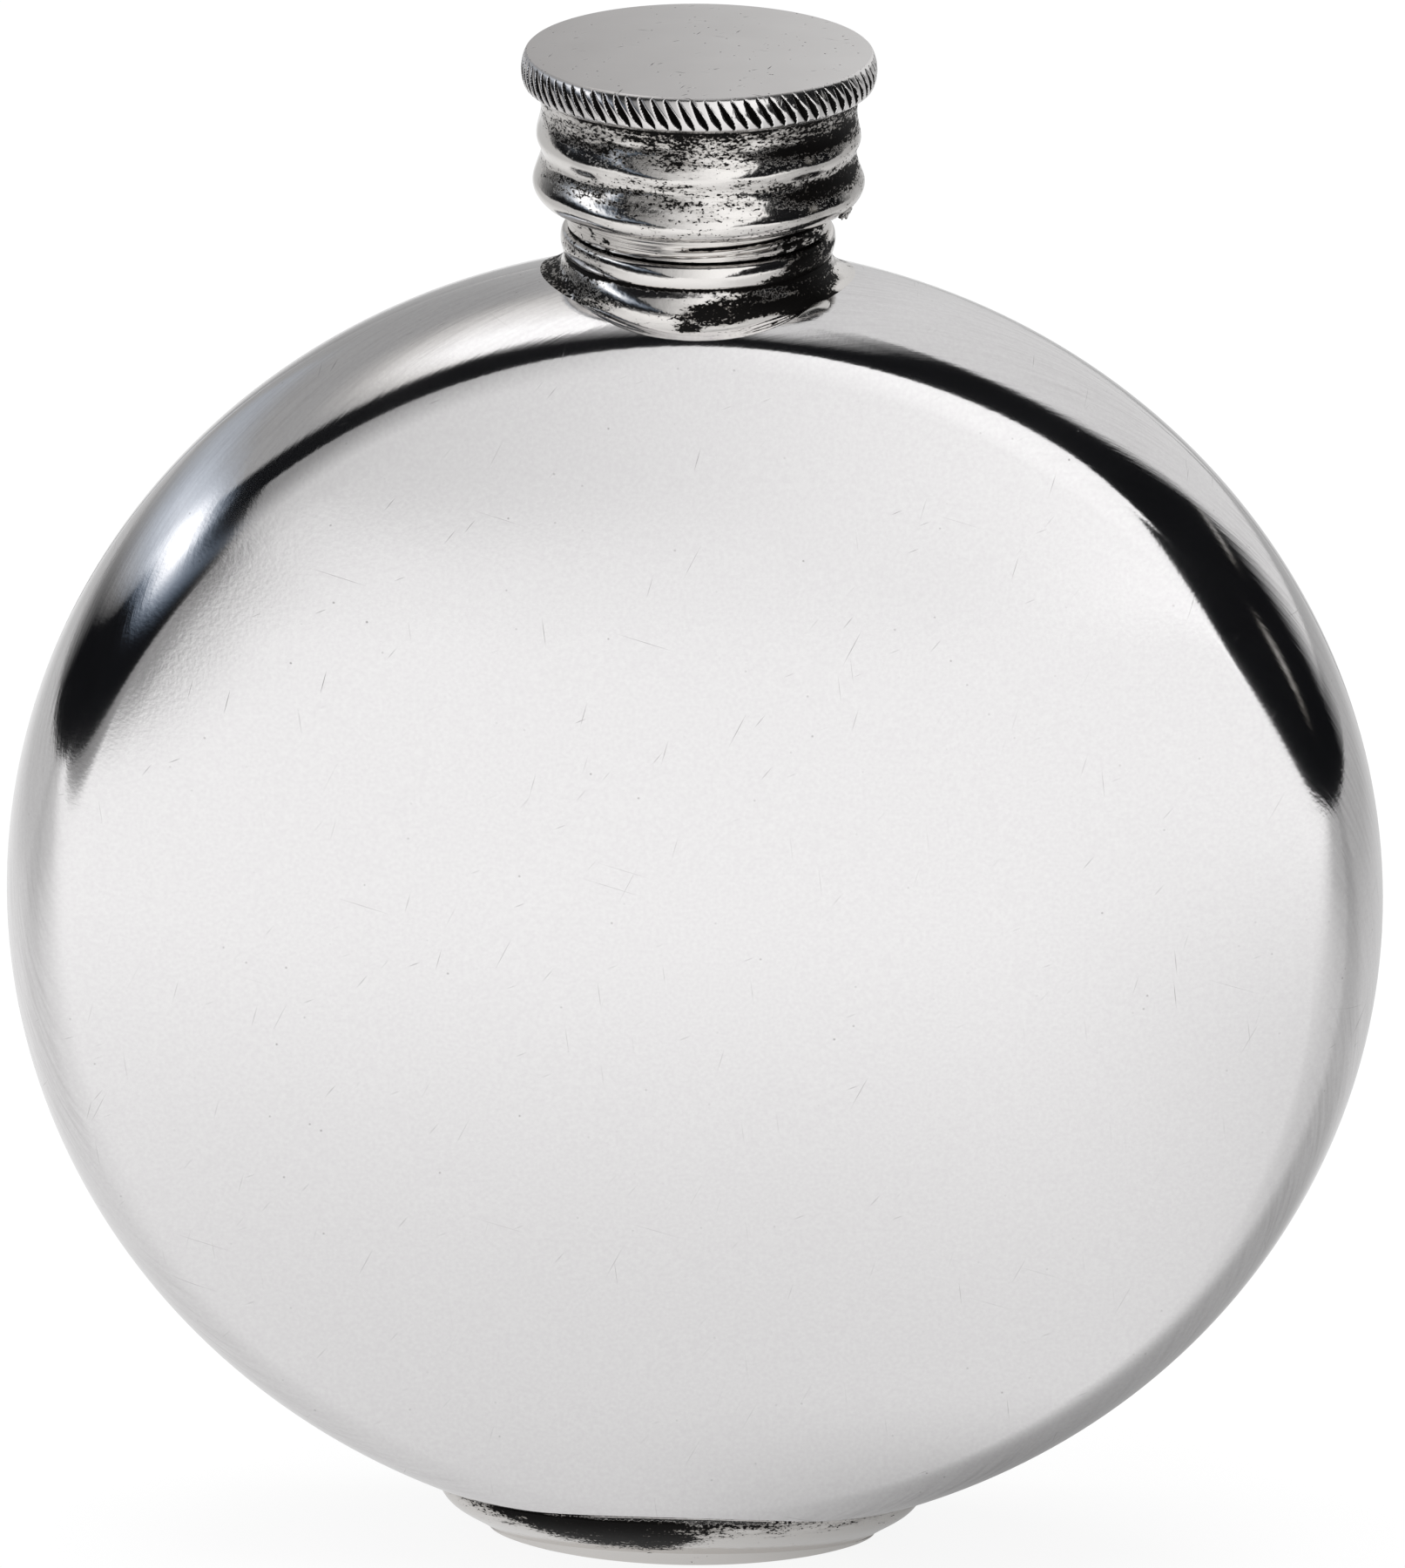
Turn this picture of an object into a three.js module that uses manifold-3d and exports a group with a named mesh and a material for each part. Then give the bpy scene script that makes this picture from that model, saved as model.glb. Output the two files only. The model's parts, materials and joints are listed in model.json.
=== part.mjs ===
// Round pewter hip flask with a screw cap. Millimetres, +Z up, the base of the foot on z = 0.
// The body is two pressed dishes soldered rim to rim, with faces along -Y (front) and +Y (rear).
// A cast collar carries the neck screw, a cast cap turns on it, and a cast foot stands below.

import * as THREE from 'three';
import { mergeVertices } from 'three/addons/utils/BufferGeometryUtils.js';
import Module from 'manifold-3d';

// Body
const bodyDiameter = 108;
const bodyThickness = 23;
const faceCrown = 1.5; // rise of a face from its edge to its middle
const shoulderWidth = 6.2; // rounded shoulder, measured along the radius
const wall = 1.1;
const holeRun = 2.2; // how far the neck hole is cut past the rounded shoulder

// Gaps
const solderFilm = 0.3; // between a casting and the dish it is soldered to
const slipFit = 0.15; // between pieces pushed together in the neck and the cap
const threadPlay = 0.3; // between the neck screw and the cap screw

// Neck screw
const boreDiameter = 14;
const shankWall = 1.7;
const shankReach = 3.2; // down into the body from its crest
const screwWall = 2.2; // from the bore to the thread's root
const threadDepth = 0.65;
const threadPitch = 2;
const threadShow = 0.3; // the thread starts this far below the closed cap
const plainBand = 1.7; // screw that shows between the collar and the closed cap
const mouthChamfer = 0.4;
const threadLead = 0.8; // chamfer that lets the cap screw start

// Neck collar
const collarRise = 2.2; // above the body's crest
const collarLip = 0.45; // stands out round the screw
const collarEdge = 0.3;
const grooveDrop = 1.95; // from the collar's top to the turned groove
const grooveDepth = 0.3;
const grooveWidth = 0.8;
const skirtFlare = 1.2; // spread of the skirt at the two sides
const skirtTuck = 0.7; // draw of the skirt at front and rear

// Cap
const capLip = 0.8; // turned-in edge that carries the cap screw
const capScrewLength = 5.3;
const capScrewWall = 0.65;
const capWall = 0.87;
const sealThickness = 1.4;
const sealEdge = 0.15; // broken edge of the seal
const plugDepth = 0.8; // spigot of the top that enters the skirt
const lowerBead = 0.65;
const upperBead = 0.33;
const capMouthRound = 1.7; // height of the rounding under the lower bead
const rimHeight = 2.7;
const rimOverhang = 1.46;
const rimBarrel = 0.35; // the rim is fuller at mid height by this
const topCrown = 0.5;
// Places of the hollows and the upper bead, as shares of the way from lower bead to rim
const lowHollowShare = 0.3;
const upperBeadShare = 0.5;
const highHollowShare = 0.76;
// Knee in the rounding of the mouth: shares of its height and of the lower bead
const kneeHeightShare = 1 / 3;
const kneeSwellShare = 1 / 4;
const throatSwellShare = 1 / 2; // swell under the rim, as a share of the upper bead
const knurlCount = 84;
const knurlDepth = 0.36;
const knurlWidth = 0.5;
const knurlClear = 0.09; // a cut's section starts this far outside the rim
const knurlReach = 1.5; // a cut is longer than the rim is high, so that it runs out of both edges
const knurlSlant = THREE.MathUtils.degToRad(30);

// Foot
const footDrop = 1.4; // from the body's lowest point to the base
const footLength = 32.8;
const footDepth = 12;
const footWall = 2.2;
const footRim = 1.2; // upright rim at the base
const footHeight = 6;
const footSideFlare = 4; // spread of each end, from the base to the top edge
const footFaceFlare = 4.1; // spread of front and rear, from the base to the top edge
const footBasePower = 1.7; // tips of the base outline: 1 is an ellipse, 2 comes to a point
const footTopPower = 0.65; // tips of the top outline, blunter than an ellipse

// Facets
const bodySegments = 64;
const neckSegments = 36;
const footSegments = 48;
const shoulderSteps = 5;
const faceSteps = 3;
const threadSteps = 6; // rows in one pitch
const capOutlineSteps = 16;

// Sizes that follow
const bodyRadius = bodyDiameter / 2;
const baseHeight = -(bodyRadius + footDrop);
const boreRadius = boreDiameter / 2;
const shankRadius = boreRadius + shankWall;
const rootRadius = boreRadius + screwWall;
const threadRadius = rootRadius + threadDepth;
const nutRadius = threadRadius + threadPlay;
const capScrewRadius = nutRadius + capScrewWall;
const capBoreRadius = capScrewRadius + slipFit;
const capRadius = capBoreRadius + capWall;
const rimRadius = capRadius + rimOverhang;
const plugRadius = capBoreRadius - slipFit;
const collarRadius = threadRadius + collarLip;

// Heights above the middle of the body
const collarTop = bodyRadius + collarRise;
const grooveHeight = collarTop - grooveDrop;
const screwFoot = collarTop + solderFilm;
const capBase = screwFoot + plainBand;

// Heights above the lower edge of the cap
const capScrewFoot = capLip + slipFit;
const capScrewTop = capScrewFoot + capScrewLength;
const sealFoot = capScrewTop + slipFit;
const sealTop = sealFoot + sealThickness;
const plugFoot = sealTop + slipFit;
const skirtTop = plugFoot + plugDepth;
const rimFoot = skirtTop + slipFit;

const wasm = await Module();
wasm.setup();

// Merges shared vertices, drops triangles that fell together, and turns the faces outwards.
function weld(geometry) {
  const bare = geometry.clone();
  bare.deleteAttribute('normal');
  bare.deleteAttribute('uv');
  const merged = mergeVertices(bare);
  const corners = merged.index.array;
  const position = merged.attributes.position;
  const [a, b, c] = [new THREE.Vector3(), new THREE.Vector3(), new THREE.Vector3()];
  const kept = [];
  let volume = 0;
  for (let i = 0; i < corners.length; i += 3) {
    const [p, q, r] = [corners[i], corners[i + 1], corners[i + 2]];
    if (p === q || q === r || r === p) continue;
    kept.push(p, q, r);
    a.fromBufferAttribute(position, p);
    b.fromBufferAttribute(position, q);
    c.fromBufferAttribute(position, r);
    volume += a.dot(b.cross(c));
  }
  merged.setIndex(volume < 0 ? kept.reverse() : kept);
  merged.computeVertexNormals();
  return merged;
}

function toSolid(geometry) {
  const welded = weld(geometry);
  const mesh = new wasm.Mesh({
    numProp: 3,
    vertProperties: welded.attributes.position.array,
    triVerts: new Uint32Array(welded.index.array),
  });
  return new wasm.Manifold(mesh);
}

function fromSolid(solid) {
  const { vertProperties, triVerts } = solid.getMesh();
  const geometry = new THREE.BufferGeometry();
  geometry.setAttribute('position', new THREE.BufferAttribute(vertProperties, 3));
  geometry.setIndex(new THREE.BufferAttribute(triVerts, 1));
  geometry.computeVertexNormals();
  return geometry;
}

// A profile of [radius, height] pairs turned about +Z.
function turned(profile, segments) {
  const points = profile.map(([radius, height]) => new THREE.Vector2(radius, height));
  return new THREE.LatheGeometry(points, segments).rotateX(Math.PI / 2);
}

// Moves each vertex of a turned piece to the radius that a rule gives for its place.
function reshape(geometry, radiusAt) {
  const position = geometry.attributes.position;
  for (let i = 0; i < position.count; i++) {
    const radius = Math.hypot(position.getX(i), position.getY(i));
    const angle = Math.atan2(position.getY(i), position.getX(i));
    const next = radiusAt(radius, position.getZ(i), angle);
    position.setXY(i, next * Math.cos(angle), next * Math.sin(angle));
  }
  return geometry;
}

// Half of the body's section from the middle of a face to the seam, as [radius, depth] pairs.
// A positive inset lies inside the outer surface.
function halfSection(inset) {
  const edgeRadius = bodyRadius - shoulderWidth;
  const across = shoulderWidth - inset;
  const edgeDepth = bodyThickness / 2 - faceCrown - inset;
  const startAngle = Math.atan2(edgeDepth * edgeRadius, 2 * faceCrown * across);
  const startRadius = edgeRadius + across * Math.cos(startAngle);
  const startDepth = edgeDepth * Math.sin(startAngle);
  const points = [];
  for (let i = 0; i < faceSteps; i++) {
    const share = i / faceSteps;
    points.push([startRadius * share, startDepth + faceCrown * (1 - share ** 2)]);
  }
  for (let i = 0; i <= shoulderSteps; i++) {
    const angle = startAngle * (1 - i / shoulderSteps);
    points.push([edgeRadius + across * Math.cos(angle), edgeDepth * Math.sin(angle)]);
  }
  return points;
}

// A profile of [radius, depth] pairs turned about the body's axis, with depth along -Y.
function pressed(profile) {
  const points = profile.map(([radius, depth]) => new THREE.Vector2(radius, -depth));
  return new THREE.LatheGeometry(points, bodySegments);
}

// The space that the body fills, grown by the solder film, which the castings are cut to.
function bodyWithSolder() {
  const section = halfSection(-solderFilm);
  const rear = section.slice(0, -1).reverse().map(([radius, depth]) => [radius, -depth]);
  return toSolid(pressed([...section, ...rear]));
}

// Pressed dish with a hole at its crest for the neck. Its twin behind is the same dish turned round.
function frontShell() {
  const dish = pressed([...halfSection(0), ...halfSection(wall).reverse()]);
  const holeRadius = shankRadius + slipFit;
  const holeFoot = bodyRadius - shoulderWidth - holeRun;
  const profile = [
    [0, holeFoot],
    [holeRadius, holeFoot],
    [holeRadius, collarTop],
    [0, collarTop],
  ];
  const hole = turned(profile, neckSegments);
  return fromSolid(toSolid(dish).subtract(toSolid(hole)));
}

// Ring, turned groove, and a skirt that spreads to the sides, cut to sit on the body.
function neckCollar() {
  const boreOfCollar = shankRadius + slipFit;
  const skirtFoot = bodyRadius - shoulderWidth - wall;
  const skirtSteps = 6;
  const profile = [
    [boreOfCollar, collarTop],
    [collarRadius - collarEdge, collarTop],
    [collarRadius, collarTop - collarEdge],
    [collarRadius, grooveHeight + grooveWidth / 2],
    [collarRadius - grooveDepth, grooveHeight],
  ];
  for (let i = 0; i <= skirtSteps; i++) {
    const top = grooveHeight - grooveWidth / 2;
    profile.push([collarRadius, top + (skirtFoot - top) * (i / skirtSteps)]);
  }
  profile.push([boreOfCollar, skirtFoot], [boreOfCollar, collarTop]);
  const sideDrop = grooveHeight - Math.sqrt(bodyRadius ** 2 - (collarRadius + skirtFlare) ** 2);
  const faceDrop = grooveHeight - (bodyRadius - shoulderWidth);
  const blank = reshape(turned(profile, neckSegments), (radius, height, angle) => {
    const drop = Math.max(0, grooveHeight - height);
    if (radius < collarRadius - grooveDepth) return radius;
    const flare = skirtFlare * Math.min(1, drop / sideDrop) ** 2 * Math.cos(angle) ** 2;
    const tuck = skirtTuck * Math.min(1, drop / faceDrop) * Math.sin(angle) ** 2;
    return radius + flare - tuck;
  });
  return fromSolid(toSolid(blank).subtract(bodyWithSolder()));
}

// Right-hand thread: 0 on the crest and 1 at the root, for a height above the cap's lower edge.
function threadWave(height, angle) {
  return 0.5 - 0.5 * Math.cos((2 * Math.PI * height) / threadPitch - angle);
}

function threadRows(from, to) {
  const count = Math.ceil(((to - from) / threadPitch) * threadSteps);
  return Array.from({ length: count + 1 }, (_, i) => from + ((to - from) * i) / count);
}

// Shank through the collar and the body's wall, plain band, and the outer thread.
function neckScrew() {
  const shankFoot = bodyRadius - shankReach;
  const threadFoot = capBase - threadShow;
  const screwTop = capBase + sealFoot - slipFit;
  const rows = threadRows(threadFoot, screwTop);
  const profile = [
    [boreRadius, shankFoot],
    [shankRadius, shankFoot],
    [shankRadius, screwFoot],
    [threadRadius - collarEdge, screwFoot],
    [threadRadius, screwFoot + collarEdge],
    ...rows.map((height) => [threadRadius, height]),
    [boreRadius + mouthChamfer, screwTop],
    [boreRadius, screwTop - mouthChamfer],
    [boreRadius, shankFoot],
  ];
  return weld(reshape(turned(profile, neckSegments), (radius, height, angle) => {
    if (radius < rootRadius || height < threadFoot) return radius;
    const groove = threadWave(height - capBase, angle);
    const runIn = THREE.MathUtils.smoothstep(height, threadFoot, threadFoot + threadPitch / 2);
    const lead = THREE.MathUtils.smoothstep(height, screwTop - threadLead, screwTop);
    return radius - threadDepth * Math.max(groove * runIn, lead);
  }));
}

// Inner thread of the cap, held between the skirt's turned-in lip and the seal.
function capScrew() {
  const rows = threadRows(capScrewFoot, capScrewTop);
  const profile = [
    ...rows.map((height) => [nutRadius, height]),
    [capScrewRadius, capScrewTop],
    [capScrewRadius, capScrewFoot],
    [nutRadius, capScrewFoot],
  ];
  return weld(reshape(turned(profile, neckSegments), (radius, height, angle) => {
    if (radius > nutRadius + capScrewWall / 2) return radius;
    const runIn = THREE.MathUtils.smoothstep(height, capScrewFoot, capScrewFoot + threadPitch / 2);
    const runOut = THREE.MathUtils.smoothstep(height, capScrewTop - threadPitch / 2, capScrewTop);
    return radius - threadDepth * threadWave(height, angle) * runIn * (1 - runOut);
  }));
}

// Cast side of the cap, with a full bead below, a slim bead above and hollows between.
function capSkirt() {
  const lowBeadHeight = capMouthRound;
  const rise = skirtTop - lowBeadHeight;
  const outline = new THREE.SplineCurve([
    new THREE.Vector2(capBoreRadius - slipFit, 0),
    new THREE.Vector2(capRadius + lowerBead * kneeSwellShare, capMouthRound * kneeHeightShare),
    new THREE.Vector2(capRadius + lowerBead, lowBeadHeight),
    new THREE.Vector2(capRadius, lowBeadHeight + rise * lowHollowShare),
    new THREE.Vector2(capRadius + upperBead, lowBeadHeight + rise * upperBeadShare),
    new THREE.Vector2(capRadius, lowBeadHeight + rise * highHollowShare),
    new THREE.Vector2(capRadius + upperBead * throatSwellShare, skirtTop),
  ]);
  const profile = [
    [nutRadius, 0],
    ...outline.getPoints(capOutlineSteps).map((point) => [point.x, point.y]),
    [capBoreRadius, skirtTop],
    [capBoreRadius, capLip],
    [nutRadius, capLip],
    [nutRadius, 0],
  ];
  return weld(turned(profile, neckSegments));
}

// Knurled, slightly domed top with a spigot that closes the skirt.
function capTop() {
  const rimSteps = 2;
  const crownSteps = 3;
  const edgeRadius = rimRadius - rimBarrel;
  const rimTop = rimFoot + rimHeight;
  const profile = [[0, plugFoot], [plugRadius, plugFoot], [plugRadius, rimFoot]];
  for (let i = 0; i <= rimSteps; i++) {
    const share = (2 * i) / rimSteps - 1;
    profile.push([rimRadius - rimBarrel * share ** 2, rimFoot + (rimHeight * i) / rimSteps]);
  }
  for (let i = crownSteps - 1; i >= 0; i--) {
    const share = i / crownSteps;
    profile.push([edgeRadius * share, rimTop + topCrown * (1 - share ** 2)]);
  }
  const disc = toSolid(turned(profile, knurlCount / 2));
  return fromSolid(disc.subtract(knurlCuts()));
}

// Slanting V cuts round the rim. The barrel shape of the rim makes each cut fade at its ends.
function knurlCuts() {
  const section = new THREE.Shape([
    new THREE.Vector2(0, -knurlDepth),
    new THREE.Vector2(knurlWidth / 2, knurlClear),
    new THREE.Vector2(-knurlWidth / 2, knurlClear),
  ]);
  const length = (knurlReach * rimHeight) / Math.cos(knurlSlant);
  const cuts = [];
  for (let i = 0; i < knurlCount; i++) {
    const cut = new THREE.ExtrudeGeometry(section, { depth: length, bevelEnabled: false });
    cut.translate(0, 0, -length / 2);
    cut.rotateY(knurlSlant);
    cut.translate(0, rimRadius, rimFoot + rimHeight / 2);
    cut.rotateZ((2 * Math.PI * i) / knurlCount);
    cuts.push(toSolid(cut));
  }
  return wasm.Manifold.union(cuts);
}

// Soft wad that closes the mouth.
function capSeal() {
  const profile = [
    [0, sealFoot],
    [plugRadius - sealEdge, sealFoot],
    [plugRadius, sealFoot + sealEdge],
    [plugRadius, sealTop - sealEdge],
    [plugRadius - sealEdge, sealTop],
    [0, sealTop],
  ];
  return weld(turned(profile, neckSegments));
}

// One level outline of the foot: a long oval that narrows towards its two ends.
function footOutline(halfLength, halfDepth, power) {
  return Array.from({ length: footSegments }, (_, i) => {
    const angle = (2 * Math.PI * i) / footSegments;
    const side = Math.sin(angle);
    return [halfLength * Math.cos(angle), halfDepth * Math.sign(side) * Math.abs(side) ** power];
  });
}

// Skins a stack of level outlines of equal count into a closed solid.
function loft(levels) {
  const count = levels[0].outline.length;
  const vertices = [];
  const corners = [];
  for (const { outline, height } of levels) {
    for (const [x, y] of outline) vertices.push(x, y, height);
  }
  for (let level = 0; level + 1 < levels.length; level++) {
    for (let i = 0; i < count; i++) {
      const a = level * count + i;
      const b = level * count + ((i + 1) % count);
      corners.push(a, b, b + count, a, b + count, a + count);
    }
  }
  const lowMiddle = vertices.length / 3;
  const topRow = (levels.length - 1) * count;
  vertices.push(0, 0, levels[0].height, 0, 0, levels.at(-1).height);
  for (let i = 0; i < count; i++) {
    const next = (i + 1) % count;
    corners.push(lowMiddle, next, i, lowMiddle + 1, topRow + i, topRow + next);
  }
  const geometry = new THREE.BufferGeometry();
  geometry.setAttribute('position', new THREE.Float32BufferAttribute(vertices, 3));
  geometry.setIndex(corners);
  return geometry;
}

// Boat-shaped foot, open in the middle, that cradles the lowest part of the body.
function foot() {
  const flareSteps = 4;
  const halfLength = footLength / 2;
  const halfDepth = footDepth / 2;
  const levels = [{ outline: footOutline(halfLength, halfDepth, footBasePower), height: baseHeight }];
  for (let i = 0; i <= flareSteps; i++) {
    const share = i / flareSteps;
    const flare = Math.sin((share * Math.PI) / 2);
    const power = THREE.MathUtils.lerp(footBasePower, footTopPower, flare);
    levels.push({
      outline: footOutline(halfLength + footSideFlare * flare, halfDepth + footFaceFlare * flare, power),
      height: baseHeight + footRim + (footHeight - footRim) * share,
    });
  }
  const opening = footOutline(halfLength - footWall, halfDepth - footWall, footBasePower);
  const hollow = loft([
    { outline: opening, height: baseHeight - footRim },
    { outline: opening, height: baseHeight + footHeight },
  ]);
  return fromSolid(toSolid(loft(levels)).subtract(toSolid(hollow)).subtract(bodyWithSolder()));
}

const polishedPewter = new THREE.MeshStandardMaterial({ color: 0xc9c7c4, roughness: 0.16, metalness: 1 });
const castPewter = new THREE.MeshStandardMaterial({ color: 0x9d9a96, roughness: 0.3, metalness: 1 });
const satinPewter = new THREE.MeshStandardMaterial({ color: 0xb4b1ad, roughness: 0.4, metalness: 1 });
const sealPlastic = new THREE.MeshStandardMaterial({ color: 0xe6e2d8, roughness: 0.6, metalness: 0 });

function piece(name, geometry, material) {
  const mesh = new THREE.Mesh(geometry, material);
  mesh.name = name;
  return mesh;
}

const cap = new THREE.Group();
cap.position.z = capBase;
cap.add(
  piece('cap_skirt', capSkirt(), castPewter),
  piece('cap_screw', capScrew(), castPewter),
  piece('cap_seal', capSeal(), sealPlastic),
  piece('cap_top', capTop(), satinPewter),
);

const front = frontShell();
const flask = new THREE.Group();
flask.position.z = -baseHeight;
flask.add(
  piece('front_shell', front, polishedPewter),
  piece('rear_shell', front.clone().rotateZ(Math.PI), polishedPewter),
  piece('neck_collar', neckCollar(), castPewter),
  piece('neck_screw', neckScrew(), castPewter),
  piece('foot', foot(), castPewter),
  cap,
);

export default flask;
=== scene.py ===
# %% [markdown]
# # A round pewter hip flask
# The frame holds every solid of the flask at its real size and place. This lesson dresses it: each
# solid is replaced by a finer mesh of the same shape, and each mesh gets the finish of its metal.
# Outlines are written in millimetres, and one function scales them to Blender's metres.

# %% Load the frame
import json
import math

import bmesh
import bpy
import numpy as np
from mathutils import Matrix, Vector

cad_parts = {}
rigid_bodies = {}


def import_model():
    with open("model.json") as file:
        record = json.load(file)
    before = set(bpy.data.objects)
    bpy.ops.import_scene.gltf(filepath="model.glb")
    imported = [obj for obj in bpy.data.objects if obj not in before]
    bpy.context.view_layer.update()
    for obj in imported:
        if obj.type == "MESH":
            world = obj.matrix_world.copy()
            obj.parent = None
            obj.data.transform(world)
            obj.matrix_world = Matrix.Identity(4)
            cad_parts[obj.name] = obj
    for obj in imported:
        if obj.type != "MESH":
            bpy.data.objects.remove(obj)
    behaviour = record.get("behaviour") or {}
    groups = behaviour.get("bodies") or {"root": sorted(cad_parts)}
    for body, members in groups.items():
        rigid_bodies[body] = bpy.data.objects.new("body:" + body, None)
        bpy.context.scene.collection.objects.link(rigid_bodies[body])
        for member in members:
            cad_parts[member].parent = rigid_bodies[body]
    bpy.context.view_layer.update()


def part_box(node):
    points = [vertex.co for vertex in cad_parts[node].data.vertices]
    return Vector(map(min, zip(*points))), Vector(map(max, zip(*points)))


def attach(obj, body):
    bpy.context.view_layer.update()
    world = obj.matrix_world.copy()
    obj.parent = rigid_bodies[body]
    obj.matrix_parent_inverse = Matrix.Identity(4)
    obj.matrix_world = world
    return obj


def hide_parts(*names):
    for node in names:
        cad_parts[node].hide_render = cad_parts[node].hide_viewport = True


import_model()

# %% [markdown]
# ## Sizes
# The big sizes come from the frame, so the dressed flask follows it. The body's section is a nearly
# flat face that rolls over an elliptical shoulder to the seam between the two pressed dishes.

# %% The body's sizes
MM = 0.001
shell_low, shell_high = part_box("front_shell")
body_radius = (shell_high.x - shell_low.x) / 2 / MM
body_half = -shell_low.y / MM
body_height = shell_low.z / MM + body_radius  # middle of the body, above the table
shoulder = 6.2  # how far the rounded shoulder reaches in from the rim
crown = 1.5  # rise of a face from its edge to its middle
wall = 1.1  # thickness of the sheet
edge_radius = body_radius - shoulder
edge_depth = body_half - crown
print(f"body: {2 * body_radius:.1f} mm across, {2 * body_half:.1f} mm thick, middle at {body_height:.1f} mm")


# %% The body's section
def body_section(inset, face_steps, shoulder_steps):
    """Radius and depth from beside the middle of a face to the seam, that far inside the surface."""
    across = shoulder - inset
    depth = edge_depth - inset
    start = math.atan2(depth * edge_radius, 2 * crown * across)
    share = np.linspace(0, 1, face_steps, endpoint=False)[1:]
    angle = np.linspace(start, 0, shoulder_steps)
    face_radius = (edge_radius + across * math.cos(start)) * share
    face_depth = depth * math.sin(start) + crown * (1 - share**2)
    radius = np.concatenate([face_radius, edge_radius + across * np.cos(angle)])
    return np.stack([radius, np.concatenate([face_depth, depth * np.sin(angle)])], -1)


def body_reach(y):
    """Radius of the body's shoulder at a distance y from the seam."""
    return edge_radius + shoulder * np.sqrt(np.clip(1 - (y / edge_depth) ** 2, 0, 1))


# %% [markdown]
# ## Meshes from rings
# Nearly every piece here was turned, pressed or cast round an axis, so each mesh is a stack of rings
# skinned with quads. Writing the rings with formulas gives more control than modifiers would.

# %% A mesh from rings
SHARP = math.radians(38)


def ring_mesh(name, rings, loop=False, first_pole=None, last_pole=None):
    """An object over rings[i][j], in millimetres. loop joins the last ring to the first."""
    rings = np.asarray(rings, float)
    index = np.arange(rings.shape[0] * rings.shape[1]).reshape(rings.shape[:2])
    lower = index if loop else index[:-1]
    upper = np.roll(index, -1, axis=0) if loop else index[1:]
    quads = np.stack([lower, np.roll(lower, -1, 1), np.roll(upper, -1, 1), upper], -1)
    points = rings.reshape(-1, 3)
    faces = quads.reshape(-1, 4).tolist()
    for pole, ring in ((first_pole, index[0]), (last_pole, index[-1])):
        if pole is not None:
            points = np.vstack([points, pole])
            tip = len(points) - 1
            faces += [[int(a), int(b), tip] for a, b in zip(ring, np.roll(ring, -1))]
    mesh = bpy.data.meshes.new(name)
    mesh.from_pydata((points * MM).tolist(), [], faces)
    return shown(name, mesh)


def shown(name, mesh):
    """Puts a mesh in the scene with its faces out, smooth but for real edges."""
    shell = bmesh.new()
    shell.from_mesh(mesh)
    bmesh.ops.recalc_face_normals(shell, faces=shell.faces)
    shell.to_mesh(mesh)
    shell.free()
    mesh.shade_smooth()
    mesh.set_sharp_from_angle(angle=SHARP)
    made = bpy.data.objects.new(name, mesh)
    bpy.context.scene.collection.objects.link(made)
    return made


# %% Turned rings
def around(count):
    """Angles round the flask's upright axis: the front is at -90 degrees, +X at 0."""
    return np.linspace(0, 2 * math.pi, count, endpoint=False)


def turned(radius, height, angle):
    """Rings from radii and heights that may change with the angle."""
    radius = np.broadcast_to(radius, (len(height), len(angle)))
    height = np.broadcast_to(height, radius.shape)
    return np.stack([radius * np.cos(angle), radius * np.sin(angle), height], -1)


def column(values):
    """One value for each ring, as a column that spreads round the ring."""
    return np.asarray(values, float)[:, None]


def smooth_line(points, steps):
    """A smooth curve through a few given points, with that many steps between points."""
    points = np.asarray(points, float)
    ends = np.vstack([2 * points[0] - points[1], points, 2 * points[-1] - points[-2]])
    share = np.linspace(0, 1, steps, endpoint=False)[:, None]
    spans = []
    for before, start, end, after in zip(ends, ends[1:], ends[2:], ends[3:]):
        bend = 2 * before - 5 * start + 4 * end - after
        twist = 3 * (start - end) + after - before
        spans.append(start + 0.5 * (share * (end - before) + share**2 * bend + share**3 * twist))
    return np.vstack([*spans, points[-1:]])


def ease(low, high, value):
    """0 below low, 1 above high, and a smooth rise between."""
    share = np.clip((value - low) / (high - low), 0, 1)
    return share * share * (3 - 2 * share)


def near(value, middle, reach):
    """1 at the middle, falling off like a bell on both sides."""
    return np.exp(-((value - middle) / reach) ** 2)


# %% [markdown]
# ## How a finish is made
# A finish is a small node tree. One function adds a node with its settings and its links, and one
# turns an sRGB hex colour, as read off a picture, into the linear numbers that shaders work with.
# Patterns use the Object coordinate, which here is simply the place on the flask in metres, so a
# pattern's scale is one over its real size.

# %% Node and colour helpers
def linear(code):
    """Linear RGBA from an sRGB hex colour such as "c9c7c4"."""
    parts = [int(code[i:i + 2], 16) / 255 for i in (0, 2, 4)]
    return [p / 12.92 if p <= 0.04045 else ((p + 0.055) / 1.055) ** 2.4 for p in parts] + [1.0]


def add(tree, kind, inputs=(), **settings):
    """Adds a node. inputs maps a socket's name or number to a value, or to another node's output."""
    made = tree.nodes.new(kind)
    for name, value in settings.items():
        setattr(made, name, value)
    for socket, value in dict(inputs).items():
        if isinstance(value, bpy.types.NodeSocket):
            tree.links.new(value, made.inputs[socket])
        else:
            made.inputs[socket].default_value = value
    return made


def blank_finish(name):
    """A new, empty material, its node tree and the place on the object."""
    material = bpy.data.materials.new(name)
    material.use_nodes = True
    tree = material.node_tree
    tree.nodes.clear()
    place = add(tree, "ShaderNodeTexCoord").outputs["Object"]
    return material, tree, place


def per_mm(size):
    """Texture scale at which one feature is that many millimetres."""
    return 1 / (size * MM)


# Numbers of the colour sockets on a Mix node
COLOUR_A, COLOUR_B, COLOUR_OUT = 6, 7, 2

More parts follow.
